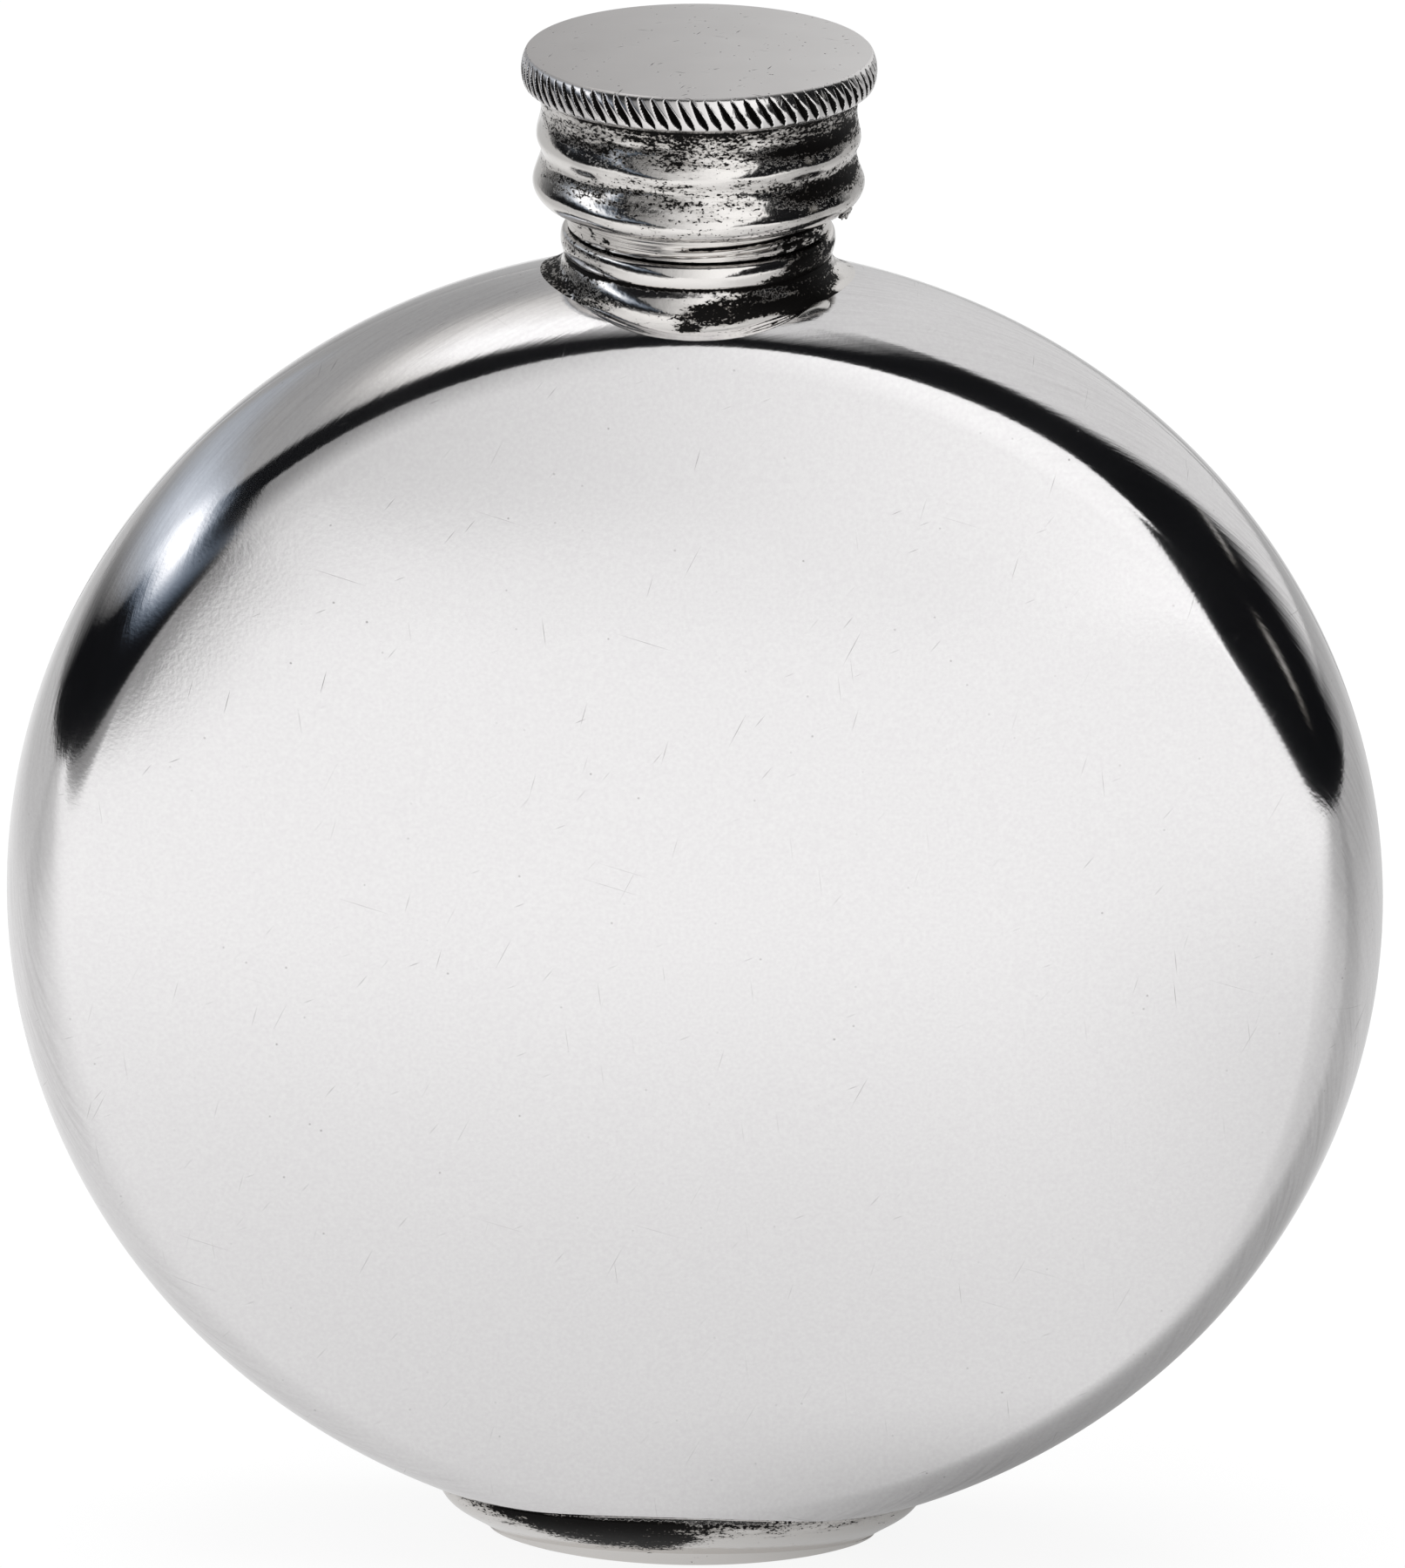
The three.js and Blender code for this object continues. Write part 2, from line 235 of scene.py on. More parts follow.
# %% [markdown]
# ## Polished pewter
# The two dishes are pewter sheet, pressed and then buffed on a cloth wheel. Buffed pewter is a soft
# mirror: bright, nearly neutral, blurred a little by its grain. The press leaves a faint orange peel.
# Years of handling leave pinprick specks and hairlines, most of which lean the same way.
# Hairlines and specks are stretched cells of a cell texture, cut off close to each cell's middle. A
# painted picture of scratches would do too, but cells stay sharp from near by and need no file.

# %% Marks of handling
SPECK = 0.24  # size of a pinprick in millimetres


def hairlines(tree, place, lean, length, width, reach):
    """1 on short scratches, 0 elsewhere. lean is in degrees from +X towards +Z, sizes are in millimetres,
    and reach is half of a scratch's share of its cell."""
    spread = 1 / (2 * reach)  # one cell is this many times the scratch
    cell = [per_mm(length * spread), per_mm(length * spread), per_mm(width * spread)]
    leaning = add(tree, "ShaderNodeVectorRotate", {"Vector": place, "Angle": math.radians(lean)},
                  rotation_type="Y_AXIS")
    scaled = add(tree, "ShaderNodeVectorMath", {0: leaning.outputs[0], 1: cell}, operation="MULTIPLY")
    cells = add(tree, "ShaderNodeTexVoronoi", {"Vector": scaled.outputs[0], "Scale": 1.0})
    return add(tree, "ShaderNodeMapRange", {"Value": cells.outputs["Distance"], "From Min": 0.3 * reach,
               "From Max": reach, "To Min": 1.0, "To Max": 0.0}).outputs[0]


def scratched(tree, place, marks, lines, width, reach):
    """Adds hairlines to some marks. lines holds the lean and the length of each set."""
    for lean, length in lines:
        more = hairlines(tree, place, lean, length, width, reach)
        marks = add(tree, "ShaderNodeMath", {0: marks, 1: more}, operation="MAXIMUM").outputs[0]
    return marks


def handling_marks(tree, place):
    """Specks and hairlines, plain in some patches and faint in others."""
    specks = hairlines(tree, place, 40, SPECK, SPECK, 0.06)
    lines = [(64, 3.4), (75, 2.2), (52, 1.5), (97, 2.6), (-17, 5.5), (24, 1.1)]
    marks = scratched(tree, place, specks, lines, 0.07, 0.055)
    patches = add(tree, "ShaderNodeTexNoise", {"Vector": place, "Scale": per_mm(15), "Detail": 2.0})
    plain = add(tree, "ShaderNodeMapRange", {"Value": patches.outputs[0], "From Min": 0.38, "From Max": 0.62,
                "To Min": 0.06, "To Max": 0.5})
    return add(tree, "ShaderNodeMath", {0: marks, 1: plain.outputs[0]}, operation="MULTIPLY").outputs[0]


# %% [markdown]
# The rounded shoulder met the wheel edge-on, so it carries fine lines that run round the rim at a slight
# slant, in patches. The flat faces lack them. The lines are noise on the unrolled rim, drawn out along
# it, and they are drawn at 0.3 mm, some three times coarser than the real ones, which would be too
# fine to show. The place along Y tells shoulder from face.

# %% Lines of the buffing wheel
WHEEL_SLANT = math.radians(-14)
WHEEL_FADE = 1.0  # millimetres in which the lines end, beside the face
WHEEL_GREY = 0.24  # how far a line turns grey


def drawn_noise(tree, place, sizes, detail, roughness=0.5):
    """Noise whose features have those sizes in millimetres along X, Y and Z."""
    scaled = add(tree, "ShaderNodeVectorMath", {0: place, 1: [per_mm(size) for size in sizes]},
                 operation="MULTIPLY")
    return add(tree, "ShaderNodeTexNoise", {"Vector": scaled.outputs[0], "Scale": 1.0, "Detail": detail,
               "Roughness": roughness}).outputs[0]


def wheel_lines(tree, place):
    """0 to 1 across the wheel's lines on the shoulder, and 0 on the faces."""
    parts = add(tree, "ShaderNodeSeparateXYZ", {0: place})
    above = add(tree, "ShaderNodeMath", {0: parts.outputs["Z"], 1: body_height * MM}, operation="SUBTRACT")
    turn = add(tree, "ShaderNodeMath", {0: parts.outputs["X"], 1: above.outputs[0]}, operation="ARCTAN2")
    along = add(tree, "ShaderNodeMath", {0: turn.outputs[0], 1: body_radius * MM}, operation="MULTIPLY")
    unrolled = add(tree, "ShaderNodeCombineXYZ", {0: along.outputs[0], 1: parts.outputs["Y"]})
    slanting = add(tree, "ShaderNodeVectorRotate", {"Vector": unrolled.outputs[0], "Angle": WHEEL_SLANT},
                   rotation_type="Z_AXIS")
    lines = drawn_noise(tree, slanting.outputs[0], (6, 0.3, math.inf), 4.0, 0.6)
    patches = add(tree, "ShaderNodeTexNoise", {"Vector": place, "Scale": per_mm(12), "Detail": 2.0})
    kept = add(tree, "ShaderNodeMapRange", {"Value": patches.outputs[0], "From Min": 0.4, "From Max": 0.6,
               "To Min": 0.35, "To Max": 1.0})
    from_seam = add(tree, "ShaderNodeMath", {0: parts.outputs["Y"]}, operation="ABSOLUTE")
    on_shoulder = add(tree, "ShaderNodeMapRange", {"Value": from_seam.outputs[0],
                      "From Min": (edge_depth - WHEEL_FADE) * MM, "From Max": edge_depth * MM,
                      "To Min": 1.0, "To Max": 0.0})
    cut = add(tree, "ShaderNodeMapRange", {"Value": lines, "From Min": 0.42, "From Max": 0.72})
    where = add(tree, "ShaderNodeMath", {0: on_shoulder.outputs[0], 1: kept.outputs[0]},
                operation="MULTIPLY")
    return add(tree, "ShaderNodeMath", {0: cut.outputs[0], 1: where.outputs[0]},
               operation="MULTIPLY").outputs[0]


# %% Polished pewter sheet
def polished_pewter():
    material, tree, place = blank_finish("polished_pewter_sheet")
    peel = add(tree, "ShaderNodeTexNoise", {"Vector": place, "Scale": per_mm(0.32), "Detail": 3.0})
    cloud = add(tree, "ShaderNodeTexNoise", {"Vector": place, "Scale": per_mm(16), "Detail": 3.0})
    marks = handling_marks(tree, place)
    wheel = wheel_lines(tree, place)
    bright = add(tree, "ShaderNodeMapRange", {"Value": peel.outputs[0], "From Min": 0.3, "From Max": 0.7})
    sheet = add(tree, "ShaderNodeMix", {0: bright.outputs[0], COLOUR_A: linear("e5e3e4"),
                COLOUR_B: linear("ebeaea")}, data_type="RGBA")
    lined = add(tree, "ShaderNodeMath", {0: wheel, 1: WHEEL_GREY}, operation="MULTIPLY")
    brushed = add(tree, "ShaderNodeMix", {0: lined.outputs[0], COLOUR_A: sheet.outputs[COLOUR_OUT],
                  COLOUR_B: linear("8d8988")}, data_type="RGBA")
    colour = add(tree, "ShaderNodeMix", {0: marks, COLOUR_A: brushed.outputs[COLOUR_OUT],
                 COLOUR_B: linear("5a5553")}, data_type="RGBA")
    smear = add(tree, "ShaderNodeMapRange", {"Value": cloud.outputs[0], "From Min": 0.3, "From Max": 0.7,
                "To Min": 0.07, "To Max": 0.12})
    rough = add(tree, "ShaderNodeMath", {0: marks, 1: 0.3, 2: smear.outputs[0]}, operation="MULTIPLY_ADD")
    cut = add(tree, "ShaderNodeBump", {"Height": marks, "Distance": 0.006 * MM}, invert=True)
    grooved = add(tree, "ShaderNodeBump", {"Height": wheel, "Distance": 0.004 * MM,
                  "Normal": cut.outputs[0]})
    pebbled = add(tree, "ShaderNodeBump", {"Height": peel.outputs[0], "Distance": 0.0025 * MM,
                  "Normal": grooved.outputs[0]})
    surface = add(tree, "ShaderNodeBsdfPrincipled", {"Base Color": colour.outputs[COLOUR_OUT],
                  "Metallic": 1.0, "Roughness": rough.outputs[0], "Normal": pebbled.outputs[0]})
    add(tree, "ShaderNodeOutputMaterial", {"Surface": surface.outputs[0]})
    return material


buffed = polished_pewter()
print("finish:", buffed.name)

# %% [markdown]
# ## Antiqued castings
# The cap, collar and foot are cast pewter. They were dipped black and buffed again, so the metal shines
# on the high spots while the black stays in hollows, pores and streaks. Where black goes is written on
# each mesh as an attribute of antique black and painted shade, and noise at the size of the pores breaks
# that up. Besides the dip's black, it carries painted dark reflections on the flanks of neck and cap and
# on the foot, which the hollows alone would not give.

# %% Where the black stays
BLACK = "0c0a09"
DULL = 0.08  # specular level of the sooty black, which has hardly any gloss


def patina_mask(tree, place, streak, pore):
    """Black in pores and the grey veil round it, from the mesh's antique black and painted shade, broken by
    streaks (sizes in mm).
    """
    kept = add(tree, "ShaderNodeAttribute", attribute_name="patina_and_shade").outputs["Fac"]
    streaks = drawn_noise(tree, place, (streak * 5, streak * 5, streak), 4.0, 0.65)
    pores = drawn_noise(tree, place, (pore * 1.6, pore * 1.6, pore), 3.0, 0.6)
    wide = add(tree, "ShaderNodeMath", {0: streaks, 1: 1.0, 2: kept}, operation="MULTIPLY_ADD")
    both = add(tree, "ShaderNodeMath", {0: pores, 1: 1.5, 2: wide.outputs[0]}, operation="MULTIPLY_ADD")
    black = add(tree, "ShaderNodeMapRange", {"Value": both.outputs[0], "From Min": 1.7, "From Max": 1.82},
                interpolation_type="SMOOTHSTEP")
    tarnish = add(tree, "ShaderNodeMapRange", {"Value": wide.outputs[0], "From Min": 0.7, "From Max": 1.3},
                  interpolation_type="SMOOTHSTEP")
    return black.outputs[0], tarnish.outputs[0]


def part_black(tree, black, bright, rough, matt, normal):
    """Ends a finish: metal of a bright colour where black is 0, and sooty black where it is 1."""
    colour = add(tree, "ShaderNodeMix", {0: black, COLOUR_A: bright, COLOUR_B: linear(BLACK)},
                 data_type="RGBA")
    metal = add(tree, "ShaderNodeMapRange", {"Value": black, "To Min": 1.0, "To Max": 0.0})
    gloss = add(tree, "ShaderNodeMapRange", {"Value": black, "To Min": rough, "To Max": matt})
    surface = add(tree, "ShaderNodeBsdfPrincipled", {"Base Color": colour.outputs[COLOUR_OUT],
                  "Metallic": metal.outputs[0], "Roughness": gloss.outputs[0], "Normal": normal,
                  "Specular IOR Level": DULL})
    add(tree, "ShaderNodeOutputMaterial", {"Surface": surface.outputs[0]})


def antiqued_pewter(name, bright, rough, streak, pore):
    """Cast pewter, bright on its high spots and black in its hollows."""
    material, tree, place = blank_finish(name)
    black, tarnish = patina_mask(tree, place, streak, pore)
    lumps = add(tree, "ShaderNodeTexNoise", {"Vector": place, "Scale": per_mm(1.1), "Detail": 3.0})
    veiled = add(tree, "ShaderNodeMix", {0: tarnish, COLOUR_A: linear(bright), COLOUR_B: linear("6f6963")},
                 data_type="RGBA")
    uneven = add(tree, "ShaderNodeBump", {"Height": lumps.outputs[0], "Distance": 0.03 * MM})
    pitted = add(tree, "ShaderNodeBump", {"Height": black, "Distance": 0.02 * MM,
                 "Normal": uneven.outputs[0]}, invert=True)
    part_black(tree, black, veiled.outputs[COLOUR_OUT], rough, 0.5, pitted.outputs[0])
    return material


cast = antiqued_pewter("antiqued_cast_pewter", "e6e3e0", 0.12, 0.5, 0.18)
print("finish:", cast.name)


# %% [markdown]
# ## Satin, turned and soldered metal
# The cap's flat top was only rubbed with fine grit, so it is a soft grey with pores, with painted shading
# that makes it darker to its left and brighter to its right. Fingers have polished the knurl round it, and
# an attribute named worn says where. The screw was cut on a lathe, which leaves fine level lines. Solder
# cools with a duller skin than the sheet.
# All of them keep black in their pores, so they end in the same way as the castings.

# %% Satin casting
TOP_REACH = 13  # millimetres from the cap's axis to the edge of its top


def satin_pewter():
    material, tree, place = blank_finish("satin_pewter_casting")
    black, _ = patina_mask(tree, place, 0.6, 0.3)
    grit = add(tree, "ShaderNodeTexNoise", {"Vector": place, "Scale": per_mm(0.22), "Detail": 3.0})
    cloud = add(tree, "ShaderNodeTexNoise", {"Vector": place, "Scale": per_mm(5), "Detail": 3.0})
    specks = hairlines(tree, place, 20, SPECK, SPECK, 0.12)
    upright = add(tree, "ShaderNodeVectorRotate", {"Vector": place, "Angle": math.radians(90)},
                  rotation_type="X_AXIS")
    marks = scratched(tree, upright.outputs[0], specks, [(70, 1.2), (35, 0.8), (-20, 1.6)], 0.12, 0.09)
    dark = add(tree, "ShaderNodeMath", {0: black, 1: marks}, operation="MAXIMUM").outputs[0]
    parts = add(tree, "ShaderNodeSeparateXYZ", {0: place})
    # Painted shading: the top is darker to its left and brighter to its right
    painted_light_rightwards = add(tree, "ShaderNodeMapRange", {"Value": parts.outputs["X"],
                     "From Min": -TOP_REACH * MM, "From Max": TOP_REACH * MM, "To Min": -0.2,
                     "To Max": 0.8})
    bright = add(tree, "ShaderNodeMath", {0: cloud.outputs[0], 1: 0.4, 2: painted_light_rightwards.outputs[0]},
                 operation="MULTIPLY_ADD")
    tone = add(tree, "ShaderNodeMix", {0: bright.outputs[0], COLOUR_A: linear("d3d0cf"),
               COLOUR_B: linear("f0eeed")}, data_type="RGBA")
    worn = add(tree, "ShaderNodeAttribute", attribute_name="worn").outputs["Fac"]
    rub = add(tree, "ShaderNodeMapRange", {"Value": worn, "To Min": 0.36, "To Max": 0.16})
    rubbed = add(tree, "ShaderNodeBump", {"Height": grit.outputs[0], "Distance": 0.004 * MM})
    pitted = add(tree, "ShaderNodeBump", {"Height": marks, "Distance": 0.03 * MM,
                 "Normal": rubbed.outputs[0]}, invert=True)
    part_black(tree, dark, tone.outputs[COLOUR_OUT], rub.outputs[0], 0.6, pitted.outputs[0])
    return material


# %% Turned metal and solder
def turned_pewter():
    material, tree, place = blank_finish("lathe_turned_pewter")
    black, _ = patina_mask(tree, place, 0.16, 0.4)
    lines = drawn_noise(tree, place, (12, 12, 0.13), 2.0)
    cut = add(tree, "ShaderNodeBump", {"Height": lines, "Distance": 0.03 * MM})
    part_black(tree, black, linear("dcd8d4"), 0.2, 0.55, cut.outputs[0])
    return material


satin = satin_pewter()
lathed = turned_pewter()
solder = antiqued_pewter("tin_solder", "d9d7d4", 0.24, 0.8, 0.3)
print("finishes:", satin.name, lathed.name, solder.name)


# %% [markdown]
# ## The sealing wad
# Inside the cap a soft disc of foamed polyethylene presses on the neck's mouth. It is matt, off-white,
# with the fine pebble of closed foam cells. A bump is enough for that, because the cap hides the wad.

# %% Foamed polyethylene
def foam():
    material, tree, place = blank_finish("foamed_polyethylene")
    cells = add(tree, "ShaderNodeTexVoronoi", {"Vector": place, "Scale": per_mm(0.35)})
    cloud = add(tree, "ShaderNodeTexNoise", {"Vector": place, "Scale": per_mm(4), "Detail": 3.0})
    colour = add(tree, "ShaderNodeMix", {0: cloud.outputs[0], COLOUR_A: linear("ddd8cc"),
                 COLOUR_B: linear("eeeae0")}, data_type="RGBA")
    pebble = add(tree, "ShaderNodeBump", {"Height": cells.outputs["Distance"], "Distance": 0.05 * MM})
    surface = add(tree, "ShaderNodeBsdfPrincipled", {"Base Color": colour.outputs[COLOUR_OUT],
                  "Roughness": 0.62, "IOR": 1.5, "Normal": pebble.outputs[0]})
    add(tree, "ShaderNodeOutputMaterial", {"Surface": surface.outputs[0]})
    return material


wad = foam()
print("finish:", wad.name)

# %% [markdown]
# ## Dressing a piece
# Every piece needs the same few things: a finish, the solids that it stands for, and the body that
# carries it when the cap turns. One function sees to that, so that no piece is left behind. Two more
# write a value on each point of a mesh, which a finish can read.

# %% Dressing a piece
def dress(made, finish, slot, body, *nodes):
    """Gives a piece its finish, the solids it stands for and the body it rides on. The record's slot is not
    used.
    """
    made.data.materials.clear()
    made.data.materials.append(finish)
    if nodes:
        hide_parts(*nodes)
    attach(made, body)
    print(f"{made.name}: {len(made.data.polygons)} faces, {finish.name}, rides on {body}")
    return made


def write_points(made, name, amount):
    """Writes an attribute on the ring points of a mesh. Poles, which come last, get 0."""
    values = np.zeros(len(made.data.vertices), np.float32)
    amount = np.asarray(amount, np.float32).ravel()
    values[:len(amount)] = amount
    made.data.attributes.new(name, "FLOAT", "POINT").data.foreach_set("value", values)


def write_black_and_shade(made, amount):
    """Writes how much black lies on each ring point of a mesh: antique black, and on some pieces painted
    shade.
    """
    write_points(made, "patina_and_shade", amount)


# %% [markdown]
# ## The two dishes
# Each half of the body is a pressed dish. Sheet that was pressed and buffed by hand is never quite
# true, so the faces swell by a few hundredths of a millimetre, which is what makes the reflections
# drift. The seam's edges are rounded off, and the neck hole is cut with a boolean.

# %% Pressed dishes
DISH_COLUMNS = 256
NECK_COLUMNS = 144
SEAM_ROUND = 0.05
SWELL = 0.022
HOLE_PLAY = 0.15
shank_radius = 8.7  # of the neck screw's lower end
hole_radius = shank_radius + HOLE_PLAY


def hand_swell(x, z):
    """Slow unevenness of a hand-buffed face, in millimetres."""
    return SWELL * (np.sin(x / 8.3 + 0.6) * np.cos(z / 10.1 - 0.4) + np.sin((x + z) / 14.7 + 1.9))


def pressed_dish(name, side):
    """A dish whose face looks along -Y for side -1 and +Y for side 1."""
    outer = body_section(0, face_steps=26, shoulder_steps=52)
    near_seam = np.clip(1 - outer[:, 1] / SEAM_ROUND, 0, 1)
    outer[:, 0] -= 0.5 * SEAM_ROUND * near_seam**2
    inner = body_section(wall, face_steps=10, shoulder_steps=20)[::-1]
    profile = np.vstack([outer, inner])
    angle = around(DISH_COLUMNS)
    x = profile[:, :1] * np.sin(angle)
    z = profile[:, :1] * np.cos(angle)
    depth = profile[:, 1:] + hand_swell(x, side * z) * (profile[:, 1:] / body_half) ** 2
    rings = np.stack([x, side * depth, z + body_height], -1)
    poles = [[0, side * (body_half + hand_swell(0, 0)), body_height],
             [0, side * (body_half - wall), body_height]]
    return ring_mesh(name, rings, first_pole=poles[0], last_pole=poles[1])


# %% The neck hole
def cut_neck_hole(dish):
    """Cuts the round hole that the neck screw's shank passes through."""
    heights = column([body_height + edge_radius - 2 * wall, body_height + body_radius + wall])
    rings = turned(hole_radius, heights, around(NECK_COLUMNS))
    drill = ring_mesh("drill", rings, first_pole=rings[0].mean(0), last_pole=rings[1].mean(0))
    hole = dish.modifiers.new("neck_hole", "BOOLEAN")
    hole.object = drill
    hole.solver = "EXACT"
    bpy.context.view_layer.update()
    cut = bpy.data.meshes.new_from_object(dish.evaluated_get(bpy.context.evaluated_depsgraph_get()))
    dish.modifiers.clear()
    dish.data = cut
    bpy.data.objects.remove(drill)


for name, side in (("front_shell", -1), ("rear_shell", 1)):
    dish = pressed_dish("buffed_" + name, side)
    cut_neck_hole(dish)
    dress(dish, buffed, "polished_pewter", "flask", name)

# %% [markdown]
# ## The seam
# Solder fills the seam between the dishes and was buffed with them, so it shows only as a hairline
# round the rim. It could be a line drawn in the finish of both dishes. A slim ring of its own, oval in
# section, fills the groove between their rounded edges and needs no mask.

# %% Seam solder
SEAM_SINK = 0.05  # the bead's middle lies this far inside the rim
SEAM_RISE = 0.045  # half of the bead's size, outwards
SEAM_HALF = 0.08  # and from front to rear
SEAM_WAVER = 0.003
SEAM_DIP = 0.5
bead_turn = around(10)
seam_angle = around(DISH_COLUMNS)
seam_radius = body_radius - SEAM_SINK + SEAM_RISE * column(np.cos(bead_turn))
seam_radius = seam_radius + SEAM_WAVER * np.sin(23 * seam_angle + 1)
seam_depth = np.broadcast_to(SEAM_HALF * column(np.sin(bead_turn)), seam_radius.shape)
# The neck hole interrupts the seam, so the ring dips under the sheet there
clear_of_neck = ease(10.4, 11.4, np.abs(body_radius * np.sin(seam_angle)))
clear_of_neck = np.where(np.cos(seam_angle) > 0, clear_of_neck, 1)
seam_radius = seam_radius - SEAM_DIP * (1 - clear_of_neck)
seam_rings = np.stack([seam_radius * np.sin(seam_angle), seam_depth,
                       body_height + seam_radius * np.cos(seam_angle)], -1)
seam = ring_mesh("seam_solder", seam_rings, loop=True)
dress(seam, buffed, "polished_pewter", "flask")

# %% [markdown]
# ## The neck collar
# The collar is a small casting: a ring at the top, a turned groove, and a skirt that was filed to sit
# on the body. At front and back the skirt bellies out and ends in a rounded lip. At the two sides it
# runs out into the crest in a fillet. A boolean could cut the skirt to the body but would leave no
# fillet, so each column of the mesh is a curve from the groove to the line where skirt and body meet.

# %% Collar sizes
screw_radius = 9.85
collar_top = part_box("neck_collar")[1].z / MM
groove_height = collar_top - 1.95
skirt_start = groove_height - 0.32
meet_side = 11.9  # half width of the line where the skirt meets the body, to the sides
meet_face = 9.15  # and to front and rear
COLLAR_TUCK = 0.35  # past that line the collar turns in by this, inside the body's sheet
COLLAR_SINK = 0.4  # and down by this


def on_crest(x, y):
    """Height of the body's top surface above the table."""
    return body_height + np.sqrt(np.clip(body_reach(y) ** 2 - x**2, 0, None))


def blend(share, at_sides, at_faces):
    """A value that goes from the sides, at share 0, to front and rear, at share 1."""
    return at_sides + (at_faces - at_sides) * share


# %% Bands of rings
def flat_rings(pairs):
    """Radii and heights of plain rings, the same all the way round."""
    return np.asarray(pairs, float).T[:, :, None]


def stacked(angle, *bands):
    """Stacks bands of rings. A band holds radii, heights and perhaps more, as columns or full rows."""
    return [np.vstack([np.broadcast_to(part, (len(part), len(angle))) for part in parts])
            for parts in zip(*bands)]


# %% Collar mesh
collar_angle = around(192)
to_face = np.sin(collar_angle) ** 2
meet_x = meet_side * np.cos(collar_angle)
meet_y = meet_face * np.sin(collar_angle)
meet_radius = np.hypot(meet_x, meet_y)
meet_height = on_crest(meet_x, meet_y)
# A polar place on the line of contact, so that each column stays in one upright plane
meet_angle = np.arctan2(meet_y, meet_x)
drop = skirt_start - meet_height
ring_profile = smooth_line([(9.9, collar_top), (10.12, collar_top - 0.06), (10.3, collar_top - 0.35),
                            (10.36, collar_top - 0.95), (10.22, collar_top - 1.6),
                            (10.0, groove_height)], 5)
along = np.linspace(0, 1, 22)[:, None]
weights = [(1 - along) ** 3, 3 * along * (1 - along) ** 2, 3 * along**2 * (1 - along), along**3]
low_radius = blend(to_face, 10.8, 10.75)
low_on_crest = on_crest(low_radius * np.cos(meet_angle), low_radius * np.sin(meet_angle))
skirt_radii = [10.16, blend(to_face, 10.22, 10.85), low_radius, meet_radius]
skirt_heights = [skirt_start, skirt_start - blend(to_face, 0.55, 0.3) * drop,
                 blend(to_face, low_on_crest + 0.05, meet_height + 0.2 * drop), meet_height]
skirt_radius = sum(weight * radius for weight, radius in zip(weights, skirt_radii))
skirt_height = sum(weight * height for weight, height in zip(weights, skirt_heights))
hole_edge = np.full_like(meet_radius, hole_radius)
sunk = meet_height - COLLAR_SINK
collar_inside = ([meet_radius - COLLAR_TUCK, hole_edge, hole_edge],
                 [sunk, sunk, np.full_like(meet_height, collar_top)])
collar_radii, collar_heights = stacked(collar_angle, flat_rings(ring_profile),
                                       (skirt_radius, skirt_height), collar_inside)
collar = ring_mesh("cast_collar", turned(collar_radii, collar_heights, meet_angle), loop=True)
print(f"collar: {collar_top - meet_height.min():.1f} mm from its top to its lowest edge")

# %% [markdown]
# The neck's flanks are painted blacker than its front, as a painted dark reflection that is weaker on the
# left flank than on the right one. The collar also kept a streaky blotch on its front, and pits in the
# crevice at its left.

# %% Black on the collar
LEFT_SHARE = 0.45  # painted dark reflection on a left flank, where a right one has 1


def painted_flank_reflection(angle, height, start, full):
    """Painted dark reflection: 0 at front and rear, rising on the flanks and back to 0 at the outermost
    edge. The border wanders by a few degrees with the height."""
    turn = np.degrees(np.arctan2(np.abs(np.cos(angle)), np.abs(np.sin(angle))))
    turn = turn + 5 * np.sin(3.1 * height) + 3 * np.sin(7.3 * height + 4 * angle)
    side = np.where(np.cos(angle) < 0, LEFT_SHARE, 1)
    return side * ease(start, full, turn) * ease(86, 68, turn)


def in_oval(x, z, middle, half):
    """0 in the middle of an oval and 1 on its line."""
    return ((x - middle[0]) / half[0]) ** 2 + ((z - middle[1]) / half[1]) ** 2


collar_x = collar_radii * np.cos(meet_angle)
collar_front = np.sin(meet_angle) < 0
flanks = painted_flank_reflection(meet_angle, collar_heights, 30, 44)
in_groove = near(collar_heights, groove_height, 0.16)
blotch = in_oval(collar_x, collar_heights - collar_x * 0.1, (2.7, 107.9), (4.2, 1.15))
drip = in_oval(collar_x, collar_heights, (-0.4, 106.85), (1.1, 0.5))
at_left = ease(-7.5, -10.5, collar_x) * ease(1.6, 0.3, collar_heights - meet_height)
low_skirt = ease(groove_height - 0.3, groove_height - 1.2, collar_heights)
collar_black = 0.1 + 0.1 * low_skirt + 0.75 * in_groove + 0.4 * at_left
# Painted dark reflection on the collar's flanks
collar_black = collar_black + 0.62 * flanks * (1 - at_left) * ease(12.4, 10.4, collar_x)
blotted = np.maximum(0.52 * ease(1.5, 0.2, blotch), 0.5 * ease(1.4, 0.4, drip))
collar_black = collar_black + collar_front * blotted
write_black_and_shade(collar, collar_black)
dress(collar, cast, "cast_pewter", "flask", "neck_collar")
print(f"collar: {np.mean(collar_black > 0.5):.0%} of its points stay mostly black")

# %% [markdown]
# ## The screw
# The neck's screw is a tube with a right-hand thread, one turn every two millimetres. The cap holds
# its mate. Both use the same wave, so the cap can climb it: the joint lifts the cap one pitch a turn.
# Below the closed cap a plain band shows, with the thread's last shallow cut running out across it.
# Rings that follow the wave give clean ends, where a screw modifier's would have to be cut off.

